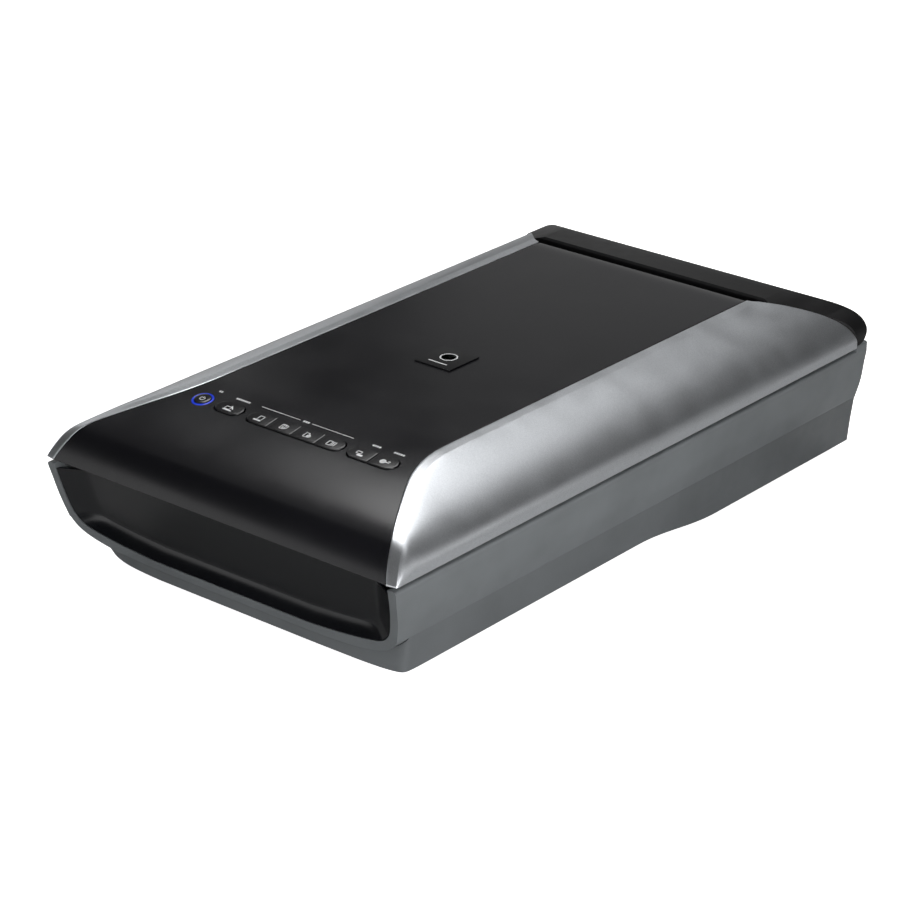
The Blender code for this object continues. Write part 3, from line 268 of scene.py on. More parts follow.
def loft(rings, closed=True):
    """Surface through rings of points; a closed one is capped at both ends."""
    bm = bmesh.new()
    rows = [[bm.verts.new(p) for p in ring] for ring in rings]
    n = len(rows[0])
    for low, high in zip(rows, rows[1:]):
        for i in range(n if closed else n - 1):
            j = (i + 1) % n
            bm.faces.new((low[i], low[j], high[j], high[i]))
    if closed:
        bm.faces.new(rows[0])
        bm.faces.new(list(reversed(rows[-1])))
    return bm


def on_axis(axis, p, t):
    return Vector({"x": (t, p[0], p[1]), "y": (p[0], t, p[1]), "z": (p[0], p[1], t)}[axis])


def extrude(points, axis, lo, hi):
    return loft([[on_axis(axis, p, lo) for p in points], [on_axis(axis, p, hi) for p in points]])


def block(x0, x1, y0, y1, z0, z1):
    bm = bmesh.new()
    centre = Vector(((x0 + x1) / 2, (y0 + y1) / 2, (z0 + z1) / 2))
    size = Matrix.Diagonal((x1 - x0, y1 - y0, z1 - z0, 1.0))
    bmesh.ops.create_cube(bm, size=1.0, matrix=Matrix.Translation(centre) @ size)
    return bm


def cut(ob, bm, how="DIFFERENCE"):
    """Boolean with a throwaway tool, applied at once."""
    tool = make("tool", bm)
    mod = ob.modifiers.new("cut", "BOOLEAN")
    mod.operation = how
    mod.solver = "EXACT"
    mod.object = tool
    apply(ob)
    bpy.data.objects.remove(tool, do_unlink=True)


def apply(ob):
    """Replaces the mesh with its evaluated form."""
    depsgraph = bpy.context.evaluated_depsgraph_get()
    depsgraph.update()
    me = bpy.data.meshes.new_from_object(ob.evaluated_get(depsgraph))
    ob.modifiers.clear()
    ob.data = me


def add_wall(ob, thickness):
    """Thickens a skin behind its visible face."""
    mod = ob.modifiers.new("wall", "SOLIDIFY")
    mod.thickness = thickness * MM
    mod.offset = -1.0
    apply(ob)


def face_to(ob, way):
    """Turns a skin so that its visible face looks a given way."""
    me = ob.data
    if sum(face.normal.dot(way) * face.area for face in me.polygons) < 0:
        me.flip_normals()


def soften(ob, width, angle=40.0, segments=2):
    """Rounds an object's edges over by a small radius."""
    bm = bmesh.new()
    bm.from_mesh(ob.data)
    bmesh.ops.remove_doubles(bm, verts=bm.verts, dist=CLEAN)
    bmesh.ops.dissolve_degenerate(bm, edges=bm.edges, dist=CLEAN)
    bm.to_mesh(ob.data)
    bm.free()
    ob.data.shade_smooth()
    mod = ob.modifiers.new("soft_edges", "BEVEL")
    mod.width = width * MM
    mod.segments = segments
    mod.limit_method = "ANGLE"
    mod.angle_limit = math.radians(angle)
    mod.harden_normals = True
    mod.use_clamp_overlap = True
    return ob


def tilted(outline, lo, hi):
    """Prism square to the lid at the keys; outline is (x, along the slope)."""
    return loft([tilt_ring(outline, lo), tilt_ring(outline, hi)])


def tilt_ring(outline, h):
    ct, st = math.cos(BUTTON_TILT), math.sin(BUTTON_TILT)
    return [(x, BUTTON_Y + v * ct - h * st, BUTTON_Z + v * st + h * ct) for x, v in outline]


def slot_outline(cx, half_len, half_h, left, right, n=10, corner=KEY_CORNER):
    """Bar along x whose ends are round or square with small corners."""
    def end(sign, is_round):
        r = half_h if is_round else corner
        pts = []
        for centre_v, start in ((-(half_h - r), -math.pi / 2), (half_h - r, 0.0)):
            for i in range(n + 1):
                a = start + math.pi / 2 * i / n
                pts.append((half_len - r + r * math.cos(a), centre_v + r * math.sin(a)))
        return [(cx + sign * x, sign * v) for x, v in pts]
    return end(1, right) + end(-1, left)


def disc(cx, cy, r, n=48):
    return [(cx + r * math.cos(2 * math.pi * i / n), cy + r * math.sin(2 * math.pi * i / n))
            for i in range(n)]


# ---------------------------------------------------------------- finishes
def new_material(name, colour, rough, metal=0.0):
    mat = bpy.data.materials.new(name)
    mat.use_nodes = True
    tree = mat.node_tree
    shader = tree.nodes["Principled BSDF"]
    shader.inputs["Base Color"].default_value = (*colour, 1.0)
    shader.inputs["Roughness"].default_value = rough
    shader.inputs["Metallic"].default_value = metal
    shader.inputs["IOR"].default_value = PLASTIC_IOR
    return mat, tree, shader


def noise(tree, scale, detail=3.0):
    """Noise over the object's own coordinates, in cells per metre."""
    coords = tree.nodes.new("ShaderNodeTexCoord")
    tex = tree.nodes.new("ShaderNodeTexNoise")
    tex.inputs["Scale"].default_value = scale
    tex.inputs["Detail"].default_value = detail
    tree.links.new(coords.outputs["Object"], tex.inputs["Vector"])
    return tex.outputs["Fac"]


def map_range(tree, value, given, wanted):
    """Maps one range of a value onto another."""
    ramp = tree.nodes.new("ShaderNodeMapRange")
    for end, number in zip(("From Min", "From Max", "To Min", "To Max"), (*given, *wanted)):
        ramp.inputs[end].default_value = number
    tree.links.new(value, ramp.inputs["Value"])
    return ramp.outputs["Result"]


def spread(tree, value, low, high):
    """Maps noise to a range."""
    return map_range(tree, value, NOISE_MIDDLE, (low, high))


def tint(tree, value, dark, light):
    """Colour that wanders between two tones."""
    ramp = tree.nodes.new("ShaderNodeValToRGB")
    ramp.color_ramp.elements[0].position = TINT_FROM
    ramp.color_ramp.elements[1].position = TINT_TO
    ramp.color_ramp.elements[0].color = (*dark, 1.0)
    ramp.color_ramp.elements[1].color = (*light, 1.0)
    tree.links.new(value, ramp.inputs["Fac"])
    return ramp.outputs["Color"]


def bump(tree, shader, value, strength, height):
    """Fine relief; the height is in metres."""
    node = tree.nodes.new("ShaderNodeBump")
    node.inputs["Strength"].default_value = strength
    node.inputs["Distance"].default_value = height
    tree.links.new(value, node.inputs["Height"])
    tree.links.new(node.outputs["Normal"], shader.inputs["Normal"])


def moulded(name, colour, rough, grain=2600.0, depth=0.00002, vary=0.12, metal=0.0):
    """Injection-moulded plastic: fine grain, slight changes of tone and gloss."""
    mat, tree, shader = new_material(name, colour, rough, metal)
    dark = tuple(c * (1 - vary) for c in colour)
    light = tuple(c * (1 + vary) for c in colour)
    tree.links.new(tint(tree, noise(tree, TONE_CELLS), dark, light), shader.inputs["Base Color"])
    tree.links.new(spread(tree, noise(tree, GLOSS_CELLS), rough * 0.92, rough * 1.08),
                   shader.inputs["Roughness"])
    bump(tree, shader, noise(tree, grain, 2.0), GRAIN_STRENGTH, depth)
    return mat


def gloss(name, colour, rough, vary=0.2):
    """Polished moulding with faint unevenness and handling haze."""
    mat, tree, shader = new_material(name, colour, rough)
    dark = tuple(c * (1 - vary) for c in colour)
    tone = tint(tree, noise(tree, GLOSS_TONE_CELLS), dark, colour)
    tree.links.new(tone, shader.inputs["Base Color"])
    haze = noise(tree, HAZE_CELLS, 5.0)
    tree.links.new(spread(tree, haze, rough * 0.9, rough * 1.12), shader.inputs["Roughness"])
    bump(tree, shader, noise(tree, WAVE_CELLS, 1.0), 0.02, 0.00005)
    return mat


def silver_paint(name):
    """Silver metallic paint: fine flakes under a satin coat."""
    mat, tree, shader = new_material(name, (0.62, 0.63, 0.64), 0.34, metal=0.9)
    flakes = tree.nodes.new("ShaderNodeTexVoronoi")
    flakes.inputs["Scale"].default_value = FLAKE_CELLS
    coords = tree.nodes.new("ShaderNodeTexCoord")
    tree.links.new(coords.outputs["Object"], flakes.inputs["Vector"])
    split = tree.nodes.new("ShaderNodeSeparateColor")
    tree.links.new(flakes.outputs["Color"], split.inputs["Color"])
    colour = tint(tree, split.outputs["Red"], (0.53, 0.55, 0.575), (0.64, 0.66, 0.685))
    tree.links.new(colour, shader.inputs["Base Color"])
    tree.links.new(spread(tree, noise(tree, PAINT_CELLS), 0.31, 0.37), shader.inputs["Roughness"])
    bump(tree, shader, noise(tree, PAINT_GRAIN, 2.0), 0.12, 0.00001)
    return mat


def light_up(mat, colour, strength):
    """Makes a material glow."""
    shader = mat.node_tree.nodes["Principled BSDF"]
    shader.inputs["Emission Color"].default_value = (*colour, 1.0)
    shader.inputs["Emission Strength"].default_value = strength
    return mat


BLACK_GLOSS = gloss("panel_gloss_black", (0.0085, 0.0085, 0.0105), 0.24)
# recess: a darker copy of the panel's gloss black, painted shade for the hand recess
RECESS_GLOSS_PAINTED_SHADE = gloss("recess_gloss_black_painted_shade", (0.005, 0.0055, 0.007), 0.24)
SILVER = silver_paint("trim_silver_paint")
COVER_BLACK = moulded("cover_satin_black", (0.008, 0.008, 0.0085), 0.4, grain=1800.0)
COVER_BLACK.node_tree.nodes["Principled BSDF"].inputs["Specular IOR Level"].default_value = 0.32
CASE_GREY = moulded("case_dark_grey", (0.15, 0.162, 0.169), 0.4)
# lower case: a darker copy of the case grey, painted shade for the part below the seam
CASE_GREY_PAINTED_SHADE = moulded("case_dark_grey_lower_painted_shade", (0.118, 0.127, 0.133), 0.42)
KEY_BLACK = moulded("key_black", (0.006, 0.006, 0.007), 0.24, grain=3200.0, depth=0.00001)
INK_WHITE = moulded("printed_white", (0.88, 0.89, 0.9), 0.5, vary=0.03)
RUBBER = moulded("foot_rubber", (0.02, 0.02, 0.02), 0.75, grain=900.0, depth=0.00004)
STEEL = moulded("plated_steel", (0.55, 0.56, 0.57), 0.28, grain=600.0, depth=0.000004, metal=1.0)
MAT_WHITE = moulded("document_mat_white", (0.78, 0.78, 0.76), 0.65, grain=700.0, vary=0.04)
INNER_GREY = moulded("inner_frame_grey", (0.5, 0.5, 0.49), 0.5, vary=0.06)
BOARD_GREEN = moulded("board_lacquer", (0.02, 0.12, 0.05), 0.35, grain=400.0, depth=0.00003)
WINDOW_WHITE = moulded("lamp_diffuser", (0.8, 0.81, 0.8), 0.4, vary=0.04)


# ---------------------------------------------------------------- lid
def lid_panel():
    """Black centre of the lid: one crowned bar after another, with a rounded lower lip."""
    rows = PANEL_LIP + spline([row[:3] for row in LID_ROWS] + PANEL_TAIL)
    last = len(rows) - 1
    widths = [(y, hw) for y, z, hw in rows[len(PANEL_LIP):]]
    rings, normals = [], []
    for k, (y, z, hw) in enumerate(rows):
        (y0, z0, _), (y1, z1, _) = rows[max(k - 1, 0)], rows[min(k + 1, last)]
        length = math.hypot(y1 - y0, z1 - z0)
        ny, nz = -(z1 - z0) / length, (y1 - y0) / length
        normals.append((y, z, ny, nz))
        top = [(-(hw - inset), y - ny * drop, z - nz * drop) for inset, drop in PANEL_EDGE]
        top += [(-x, yy, zz) for x, yy, zz in reversed(top)]
        dy, dz = y - ny * PANEL_T, z - nz * PANEL_T
        if k <= len(PANEL_LIP):
            dy, dz = y + PANEL_T, max(z, LID_EDGE_Z)
        if k > last - 2:
            dy, dz = y - PANEL_T, z
        hw_in = min(hw, interp(widths, dy))
        rings.append(top + [(hw_in, dy, dz), (-hw_in, dy, dz)])
    ob = make("lid_panel_skin", loft(rings), BLACK_GLOSS)
    for cx, half in KEY_SLOTS:
        cut(ob, tilted(slot_outline(cx, half, BUTTON_HALF + KEY_GAP, True, True), *SLOT_REACH))
    cut(ob, tilted(disc(POWER_X, 0.0, POWER_SLOT_R), *SLOT_REACH))
    shade_as_profile(ob, np.array(normals))
    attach(ob, "lid")
    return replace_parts(ob, "lid_top_panel")


def shade_as_profile(ob, profile):
    """Gives the top's corners the profile's own normal, so that reflections run clean."""
    me = ob.data
    where = profile[:, :2] * MM + np.array([FRONT_EDGE, 0.0])
    custom = []
    for face in me.polygons:
        for loop in face.loop_indices:
            co = me.vertices[me.loops[loop].vertex_index].co
            k = int(np.argmin((where[:, 0] - co.y) ** 2 + (where[:, 1] - co.z) ** 2))
            normal = Vector((0.0, profile[k, 2], profile[k, 3]))
            custom.append(normal if face.normal.dot(normal) > SAME_WAY else face.normal)
    me.normals_split_custom_set(custom)


def trim_line(row):
    """Cross-section of a silver trim at one row of the lid profile, inner edge outwards."""
    y, z, hw, bevel, drop = row
    xr, zr = hw + bevel, z - drop
    low = LID_EDGE_Z
    side = min(TRIM_SIDE_TOP, low + (zr - low) * TRIM_SIDE_SHARE)
    reach = TRIM_REACH * (HALF_W - xr) / TRIM_SPAN
    rise = TRIM_RISE * (zr - side) / TRIM_FALL
    p = [np.array(q) for q in ((xr, zr), (xr + reach, zr - 0.22 * reach), (HALF_W, side + rise),
                               (HALF_W, side))]
    nose_y, nose_end = NOSE_ENDS[-1]
    y_end = interp(NOSE_ENDS, y) if y < nose_end else y
    y_ridge = y + max(0.0, RIDGE_LAG * (1 - y / nose_y))
    pts = [(hw + dx, y + dy, z + dz) for dx, dy, dz in TRIM_LIP]
    for t in BEVEL_STEPS:
        pts.append((lerp(hw + BEVEL_START, xr, t), lerp(y, y_ridge, t), lerp(z, zr, t)))
    for k in range(CURVE_STEPS + 1):
        t = (k / CURVE_STEPS) ** CURVE_POWER
        s = 1 - t
        q = s ** 3 * p[0] + 3 * s * s * t * p[1] + 3 * s * t * t * p[2] + t ** 3 * p[3]
        pts.append((q[0], lerp(y_ridge, y_end, t * t), q[1]))
    pts.append((HALF_W, y_end, lerp(low, side, 0.4) if side - low > 0.2 else low))
    return pts + [(HALF_W + dx, y_end, low + dz) for dx, dz in TRIM_FOOT]


def lid_trim(side):
    """Silver trim of one side, drawn out along the rear end's curve."""
    rows = [trim_line(row) for row in spline(LID_ROWS)]
    flat = rows[-1]
    start = flat[0][1]
    ends = spline(TRIM_END, 4)
    for k in range(1, TAIL_STEPS + 1):
        t = 1 - (1 - k / TAIL_STEPS) ** TAIL_POWER
        rows.append([(x, lerp(start, interp(ends, x), t), z) for x, y, z in flat])
    rows[0] = [(x, y, LID_EDGE_Z) for x, y, z in rows[0]]
    skin = loft([[(side * x, y, z) for x, y, z in row] for row in rows], closed=False)
    name = "lid_trim_left" if side < 0 else "lid_trim_right"
    ob = make(name + "_skin", skin, SILVER, smooth=60.0)
    face_to(ob, Vector((0.0, 0.0, 1.0)))
    add_wall(ob, TRIM_T)
    shade(ob, SKIN_SHARP)
    for vert in ob.data.vertices:
        vert.co.x = max(-HALF_W * MM, min(HALF_W * MM, vert.co.x))
    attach(ob, "lid")
    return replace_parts(ob, name)


def hinge_cover():
    """Satin cover over the hinges, hollow inside and notched round both posts."""
    arc = [(HINGE_Y + HINGE_R * math.cos(a), HINGE_Z + HINGE_R * math.sin(a))
           for a in [-math.pi / 2 * i / 20 for i in range(21)]]
    crown = spline(COVER[2:], 8)
    outline = COVER[:2] + crown + arc + COVER_FOOT
    ob = make("hinge_cover_shell", extrude(outline, "x", -COVER_HALF, COVER_HALF), COVER_BLACK)
    cut(ob, extrude(COVER_ROOM, "x", -COVER_ROOM_HALF, COVER_ROOM_HALF))
    end = spline(COVER_END, 5)
    keep = [(-HALF_W, 60.0)] + mirror(end) + end + [(HALF_W, 60.0)]
    cut(ob, extrude(keep, "y", 380.0, 470.0), "INTERSECT")
    ends = spline(TRIM_END[2:], 4)
    for side in (-1, 1):
        pts = [(side * 90.4, 401.6)] + [(side * x, y + TRIM_GAP) for x, y in ends]
        pts += [(side * 140.0, 447.6), (side * 140.0, 390.0), (side * 90.4, 390.0)]
        cut(ob, extrude(pts, "z", 70.0, 120.0))
    for side in (-1, 1):
        x0 = side * POST_X
        cut(ob, block(x0 - POST_GAP, x0 + POST_GAP, *POST_SLOT))
    repaint(ob, COVER_BLACK)
    soften(ob, 0.5, 45.0)
    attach(ob, "lid")
    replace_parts(ob, "hinge_cover")
    floor = make("groove_floor", block(*GROOVE_FLOOR), COVER_BLACK)
    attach(floor, "lid")
    return ob


# ---------------------------------------------------------------- keys
def key(name, cx, half_len, left, right, mark):
    """Key cap with a rounded rim, and its printed mark."""
    rings = []
    for inset, h in KEY_RIM:
        line = slot_outline(cx, half_len - inset, BUTTON_HALF - inset, left, right, 8,
                            max(0.05, KEY_CORNER - inset * 0.5))
        rings.append(tilt_ring(line, h))
    ob = make(name + "_cap", loft(rings), KEY_BLACK, smooth=60.0)
    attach(ob, name)
    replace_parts(ob, name)
    mark = [[(x * MARK_SCALE, v * MARK_SCALE) for x, v in stroke] for stroke in mark]
    printed(name + "_mark", mark, cx, name, MARK_H)
    return ob


def bar(x0, v0, x1, v1, w):
    """Straight printed stroke of width w."""
    d = Vector((x1 - x0, v1 - v0)).normalized()
    n = Vector((-d.y, d.x)) * w / 2
    return [(x0 + n.x, v0 + n.y), (x0 - n.x, v0 - n.y), (x1 - n.x, v1 - n.y), (x1 + n.x, v1 + n.y)]


def ring_stroke(cx, cv, r, w, a0=0.0, a1=360.0, n=28):
    """Curved printed stroke."""
    angles = [math.radians(lerp(a0, a1, i / n)) for i in range(n + 1)]
    outer = [(cx + (r + w / 2) * math.cos(a), cv + (r + w / 2) * math.sin(a)) for a in angles]
    inner = [(cx + (r - w / 2) * math.cos(a), cv + (r - w / 2) * math.sin(a)) for a in angles]
    return outer + inner[::-1]


def raise_stroke(bm, low_ring, high_ring, base=True):
    """Adds one printed stroke between two rings of points."""
    low = [bm.verts.new(p) for p in low_ring]
    high = [bm.verts.new(p) for p in high_ring]
    bm.faces.new(high)
    if base:
        bm.faces.new(low[::-1])
    for i in range(len(low)):
        j = (i + 1) % len(low)
        bm.faces.new((low[i], low[j], high[j], high[i]))


def printed(name, strokes, cx, body, h):
    """Ink strokes on the lid's key plane, as one thin raised mesh."""
    bm = bmesh.new()
    for stroke in strokes:
        line = [(cx + x, v) for x, v in stroke]
        raise_stroke(bm, tilt_ring(line, h - INK_UNDER), tilt_ring(line, h + INK_OVER))
    ob = make(name, bm, INK_WHITE)
    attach(ob, body)
    return ob


def page(x, v, w, h, t=0.35):
    """Outline of a sheet."""
    a, b, c, d = (x, v), (x + w, v), (x + w, v + h), (x, v + h)
    return [bar(*a, *b, t), bar(*b, *c, t), bar(*c, *d, t), bar(*d, *a, t)]


MARKS = {
    "scan_button": page(-2.2, -1.6, 3.0, 2.2) + [bar(-2.6, -2.2, 2.6, -2.2, 0.7),
                                                 bar(0.2, 1.6, 2.4, -0.8, 0.6)],
    "file_button_1": page(-1.2, -1.6, 2.6, 3.4) + [bar(-2.8, -1.9, 1.6, -1.9, 1.0)],
    "file_button_2": page(-1.6, -1.9, 2.4, 3.4) + page(-0.5, -1.2, 2.4, 2.4),
    "file_button_3": page(-1.8, -1.9, 2.2, 3.2) + [ring_stroke(0.9, -0.8, 1.0, 0.4)],
    "file_button_4": page(-2.2, -1.9, 2.2, 3.2) + [bar(0.9, -1.9, 0.9, 1.4, 0.4),
                                                   bar(2.0, -1.9, 2.0, 1.4, 0.4)],
    "copy_button": page(-2.4, -0.6, 2.6, 1.8) + [bar(-1.0, -1.6, 2.2, -1.6, 1.3)],
    "mail_button": [ring_stroke(-1.2, -0.2, 1.3, 0.6), bar(0.2, -0.2, 2.4, -0.2, 0.5),
                    bar(1.2, 0.8, 2.6, 0.8, 0.4)],
}


def keys():
    for name, cx, half, left, right in KEYS:
        key(name, cx, half, left, right, MARKS[name])
    rings = [tilt_ring(disc(POWER_X, 0.0, POWER_R - inset), h) for inset, h in POWER_RIM]
    cap = make("power_button_cap", loft(rings), KEY_BLACK, smooth=60.0)
    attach(cap, "power_button")
    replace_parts(cap, "power_button")
    glow = light_up(moulded("power_ring_glow", (0.01, 0.03, 0.35), 0.2), (0.02, 0.07, 1.0), 0.35)
    rings = [tilt_ring(disc(POWER_X, 0.0, r), h) for r, h in POWER_RING]
    ring = make("power_light_ring_skin", loft(rings), glow, smooth=60.0)
    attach(ring, "lid")
    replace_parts(ring, "power_light_ring")
    mark = [ring_stroke(0.0, -0.1, 1.6, 0.4, 120.0, 420.0), bar(0.0, 0.3, 0.0, 2.1, 0.42)]
    printed("power_button_mark", mark, POWER_X, "power_button", POWER_MARK_H)
    labels()


def labels():
    """Plain dashes and a bracket line behind the keys, in place of words."""
    lid_z = interp([row[:2] for row in LID_ROWS], BUTTON_Y + LABEL_BACK)
    lift = lid_z - BUTTON_Z - LABEL_BACK * math.tan(BUTTON_TILT) + LABEL_LIFT
    dash, thick = LABEL_DASH
    groups = [[(POWER_X + 2.0 + k * 1.5, 12.4) for k in range(2)],
              [(-55.0 + k * 1.6, 11.2) for k in range(7)],
              [(-2.5 + k * 1.7, 11.6) for k in range(3)],
              [(50.5 + k * 1.6, 11.6) for k in range(4)],
              [(66.5 + k * 1.6, 11.6) for k in range(5)]]
    strokes = [bar(x, v, x + dash, v, thick) for group in groups for x, v in group]
    strokes += [bar(-35.0, 11.6, -5.0, 11.6, 0.35), bar(4.0, 11.6, 36.0, 11.6, 0.35)]
    printed("key_labels", strokes, 0.0, "lid", lift)


# ---------------------------------------------------------------- base
def front_y(z):
    """Where the leaning front face is at a height."""
    return FRONT_TOP_Y + FRONT_LEAN * (FRONT_TOP_Z - z)


def leaned(outline, near, far):
    """Prism behind the front face, whose ends lean with it."""
    return loft([[(x, front_y(z) + near, z) for x, z in outline],
                 [(x, front_y(z) + far, z) for x, z in outline]])


def upper_case():
    """Side walls, rear and the frame round the recess, open at the glass and below."""
    side = spline(WALL, 5)
    outline = mirror(side) + side
    front = [(x, front_y(z), z) for x, z in outline]
    rear = [(x, REAR_Y, z) for x, z in outline]
    ob = make("upper_case_shell", loft([front, rear]), CASE_GREY)
    ledge = [(134.9, 70.0), (135.1, 76.4), (134.8, 77.0), (134.0, SHOULDER_Z)]
    cut(ob, extrude(mirror(ledge) + ledge, "y", SHOULDER_Y, REAR_Y), "UNION")
    chin = spline(FRAME_OUT, 5)
    cut(ob, leaned(mirror(chin) + chin, 0.0, FRAME_DEEP), "UNION")
    room = [(x - 3.0, z) for x, z in WALL if z < 71.0]
    room = [(room[0][0], 70.6)] + room[1:] + [(room[-1][0] - 1.0, 20.0)]
    room = mirror(room) + room
    cut(ob, loft([[(x, front_y(z) + 13.0, z) for x, z in room], [(x, 456.6, z) for x, z in room]]))
    mouth = spline(FRAME_IN, 5)
    mouth = [(mouth[0][0], 90.0)] + mouth
    cut(ob, leaned(mirror(mouth) + mouth, -8.0, 13.6))
    cut(ob, block(*GLASS_SEAT))
    cut(ob, block(*GLASS_OPENING))
    wide, deep = POST_WELL
    for x0 in (-POST_X, POST_X):
        cut(ob, block(x0 - wide, x0 + wide, HINGE_Y - deep, HINGE_Y + deep, 60.0, 90.0))
    cut(ob, block(*USB_OPENING))
    cut(ob, block(*POWER_OPENING))
    repaint(ob, CASE_GREY)
    soften(ob, 0.3)
    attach(ob, "base")
    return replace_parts(ob, "upper_case")


def lower_case():
    """Tapered tray under the seam, raised towards the front."""
    def half(low, t, xs, rear):
        plan = [(lerp(a[0], b[0], t), lerp(a[1], b[1], t)) for a, b in zip(PLAN_TOP, low)]
        return spline(plan, 5) + [(xs, rear - 0.6), (xs - 0.2, rear - 0.2), (xs - 0.6, rear)]

    def ring(t, xs, rear, z):
        left, right = half(PLAN_LEFT, t, xs, rear), half(PLAN_LOW, t, xs, rear)
        return [(x, y, z) for x, y in mirror(left) + right]
    rings = [ring(*section) for section in LOW_SECTIONS]
    # the lower case takes the darker grey, painted shade below the seam
    ob = make("lower_case_shell", loft(rings), CASE_GREY_PAINTED_SHADE)
    under = [(-10.0, FRONT_UNDER_Z)]
    for i in range(SWEEP_STEPS + 1):
        t = i / SWEEP_STEPS
        w = t * t * (3 - 2 * t)
        under.append((lerp(S_START_Y, S_END_Y, t), lerp(FRONT_UNDER_Z, REAR_UNDER_Z, w)))
    cut(ob, extrude(under + [(S_END_Y, 0.0), (-10.0, 0.0)], "x", -150.0, 150.0))
    for room in TRAY_ROOMS:
        cut(ob, block(*room))
    chin = [(x + 0.35, z - 0.35) for x, z in spline(FRAME_OUT, 4)]
    chin = [(chin[0][0] + 4.0, 90.0)] + chin
    cut(ob, leaned(mirror(chin) + chin, -9.0, FRAME_DEEP + 0.4))
    cut(ob, block(*CHIN_ROOM))
    repaint(ob, CASE_GREY_PAINTED_SHADE)
    soften(ob, 0.3)
    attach(ob, "base")
    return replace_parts(ob, "lower_case")


def recess_panel():
    """Glossy hand recess: shelf, curved ends and back wall swept from the frame inwards."""
    def half_to_u(half):
        """Both sides of the outline, from the top left round the bottom to the top right."""
        return [(-x, z) for x, z in half] + [(x, z) for x, z in reversed(half)]
    rim = half_to_u([(x - 0.3, z + (0.3 if z < 40 else 0.0)) for x, z in spline(FRAME_IN, 5)])
    back = half_to_u(spline(RECESS_BACK, 5))
    rows = []
    for depth, f in spline(RECESS_STEPS, 5):
        line = [(lerp(a[0], b[0], f), lerp(a[1], b[1], f)) for a, b in zip(rim, back)]
        rows.append([(x, front_y(z) + depth, z) for x, z in line])
    middle = [(x * 0.9, lerp(z, max(z, 74.0), 0.25)) for x, z in line]
    rows.append([(x, front_y(z) + RECESS_DEPTH, z) for x, z in middle])
    top_y = front_y(RECESS_TOP_Z) + RECESS_DEPTH
    rows.append([(x * 0.86, top_y, RECESS_TOP_Z) for x, z in middle])
    # the recess skin takes the darker black, painted shade inside the recess
    ob = make("recess_skin", loft(rows, closed=False), RECESS_GLOSS_PAINTED_SHADE, smooth=70.0)
    face_to(ob, Vector((0.0, -1.0, 0.0)))
    add_wall(ob, RECESS_T)
    cut(ob, block(*ABOVE_RECESS))
    repaint(ob, RECESS_GLOSS_PAINTED_SHADE)
    shade(ob, SKIN_SHARP)
    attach(ob, "base")
    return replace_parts(ob, "front_recess_panel")


# ---------------------------------------------------------------- badge
def badge():
    """Dark square plate with two plain rings and a bar."""
    cx, cy, size = BADGE
    h = size / 2
    plate = make("badge_plate_skin", block(cx - h, cx + h, cy - h, cy + h, BADGE_LOW, BADGE_TOP),
                 gloss("badge_black", (0.004, 0.004, 0.005), 0.1))
    soften(plate, 0.2)
    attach(plate, "lid")
    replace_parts(plate, "badge_plate")
    bm = bmesh.new()
    strokes = [ring_stroke(cx, cy + 2.0, 5.2, 0.9), ring_stroke(cx, cy + 2.0, 2.4, 0.9),
               bar(cx - 7.0, cy - 8.4, cx + 7.0, cy - 8.4, 1.0)]
    for stroke in strokes:
        low, high = ([(x, y, z) for x, y in stroke] for z in BADGE_INK)
        raise_stroke(bm, low, high, base=False)
    mark = make("badge_mark", bm, INK_WHITE)
    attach(mark, "lid")
    return plate


# ---------------------------------------------------------------- CAD nodes that stay
FINISHES = {
    "foot_front_left foot_front_right foot_rear_left foot_rear_right drive_belt": RUBBER,
    "hinge_pin_left hinge_pin_right hinge_bracket_left hinge_bracket_right guide_rod guide_rail "
    "drive_pulley idler_bracket motor_bracket stepper_motor usb_port mirror_1 mirror_2 mirror_3 "
    "case_screw_1 case_screw_2 case_screw_3 case_screw_4 film_light_panel": STEEL,
    "hinge_post_left hinge_post_right carriage_housing lens_barrel power_jack": COVER_BLACK,
    "lid_inner_frame transport_lock idler_pulley belt_clamp": INNER_GREY,
    "document_mat calibration_strip": MAT_WHITE,
    "film_light_window led_light_bar": WINDOW_WHITE,
    "main_board button_board sensor_board": BOARD_GREEN,
}


def platen_glass_material():
    mat, tree, shader = new_material("platen_glass", (0.8, 0.9, 0.88), 0.03)
    shader.inputs["Transmission Weight"].default_value = 1.0
    tree.links.new(spread(tree, noise(tree, 20.0), 0.02, 0.05), shader.inputs["Roughness"])
    return mat


def finish_nodes():
    glass = platen_glass_material()
    for names, mat in list(FINISHES.items()) + [("platen_glass", glass)]:
        for name in names.split():
            repaint(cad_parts[name], mat)


# ---------------------------------------------------------------- studio
def softbox(name, place, aim, size, power):
    """Square lamp at a place, turned to a point."""
    lamp = bpy.data.lights.new(name, "AREA")
    lamp.shape = "RECTANGLE"
    lamp.size = lamp.size_y = size
    lamp.energy = power
    ob = bpy.data.objects.new(name, lamp)
    ob.location = place
    ob.rotation_euler = (Vector(aim) - Vector(place)).to_track_quat("-Z", "Y").to_euler()
    bpy.context.scene.collection.objects.link(ob)
    return ob


def ground(name, z, glow, tone):
    """Wide white floor that may glow."""
    bm = bmesh.new()
    bmesh.ops.create_grid(bm, x_segments=4, y_segments=4, size=FLOOR_HALF,
                          matrix=Matrix.Translation((0.0, 0.0, z)))
    ob = make(name, bm)
    mat, tree, shader = new_material(name + "_white", (tone, tone, tone), 0.9)
    tree.links.new(tint(tree, noise(tree, 0.6), (tone * 0.98,) * 3, (tone,) * 3),
                   shader.inputs["Base Color"])
    light_up(mat, (1.0, 1.0, 1.0), glow)
    ob.data.materials.append(mat)
    return ob, tree, shader


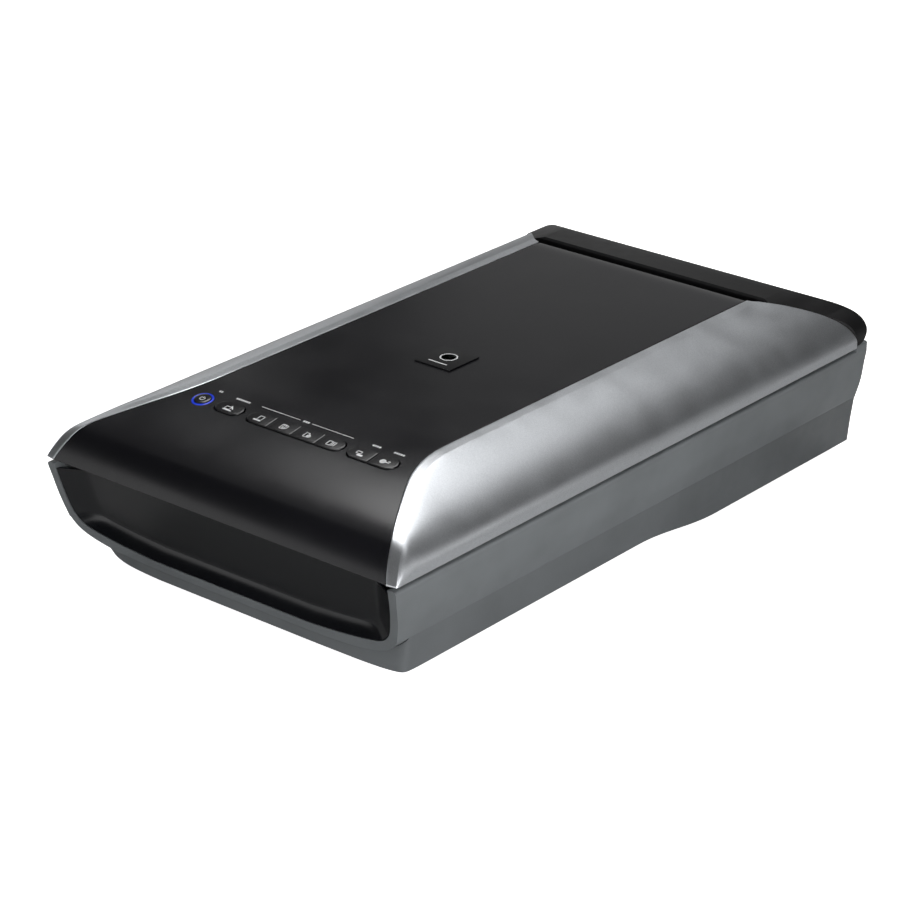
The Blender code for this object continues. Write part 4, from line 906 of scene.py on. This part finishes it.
def far_glow(tree, shader):
    """Floor that is dim beside the object and pale further out."""
    coords = tree.nodes.new("ShaderNodeTexCoord")
    length = tree.nodes.new("ShaderNodeVectorMath")
    length.operation = "LENGTH"
    tree.links.new(coords.outputs["Object"], length.inputs[0])
    glow = map_range(tree, length.outputs["Value"], GLOW_DISTANCE, GLOW_STRENGTH)
    tree.links.new(glow, shader.inputs["Emission Strength"])


def sky():
    """Soft surround that is brighter low down than overhead."""
    world = bpy.data.worlds.new("studio")
    world.use_nodes = True
    tree = world.node_tree
    coords = tree.nodes.new("ShaderNodeTexCoord")
    split = tree.nodes.new("ShaderNodeSeparateXYZ")
    tree.links.new(coords.outputs["Generated"], split.inputs["Vector"])
    strength = map_range(tree, split.outputs["Z"], SKY_HEIGHT, SKY_STRENGTH)
    tree.links.new(strength, tree.nodes["Background"].inputs["Strength"])
    tree.nodes["Background"].inputs["Color"].default_value = SKY_TINT
    bpy.context.scene.world = world


def studio():
    """White floor for the camera, a dimmer one for bounced light, softboxes and surround."""
    shown, _, _ = ground("floor", 0.0, FLOOR_GLOW, FLOOR_TONE)
    shown.visible_diffuse = shown.visible_glossy = shown.visible_shadow = False
    bounce, tree, shader = ground("floor_bounce", BOUNCE_Z, 0.0, BOUNCE_TONE)
    bounce.visible_camera = False
    far_glow(tree, shader)
    sky()
    for name, azimuth, elevation, far, power in LAMPS:
        a, e = math.radians(azimuth), math.radians(elevation)
        way = Vector((math.cos(a) * math.cos(e), math.sin(a) * math.cos(e), math.sin(e)))
        softbox(name, way * far + LAMP_AIM, LAMP_AIM, LAMP_SPREAD * far, power)
    bpy.context.scene.view_settings.view_transform = "Standard"


def camera():
    cam = bpy.data.cameras.new("main_view")
    cam.sensor_fit = "HORIZONTAL"
    cam.sensor_width = CAMERA_SENSOR
    cam.lens = CAMERA_LENS
    cam.clip_end = CAMERA_FAR
    ob = bpy.data.objects.new("main_view", cam)
    az, el = math.radians(CAMERA_AZIMUTH), math.radians(CAMERA_ELEVATION)
    ob.location = CAMERA_PLACE
    ob.rotation_euler = (math.pi / 2 - el, 0.0, az)
    bpy.context.scene.collection.objects.link(ob)
    bpy.context.scene.camera = ob


lid_panel()
for side in (-1, 1):
    lid_trim(side)
hinge_cover()
keys()
badge()
upper_case()
lower_case()
recess_panel()
finish_nodes()
studio()
camera()
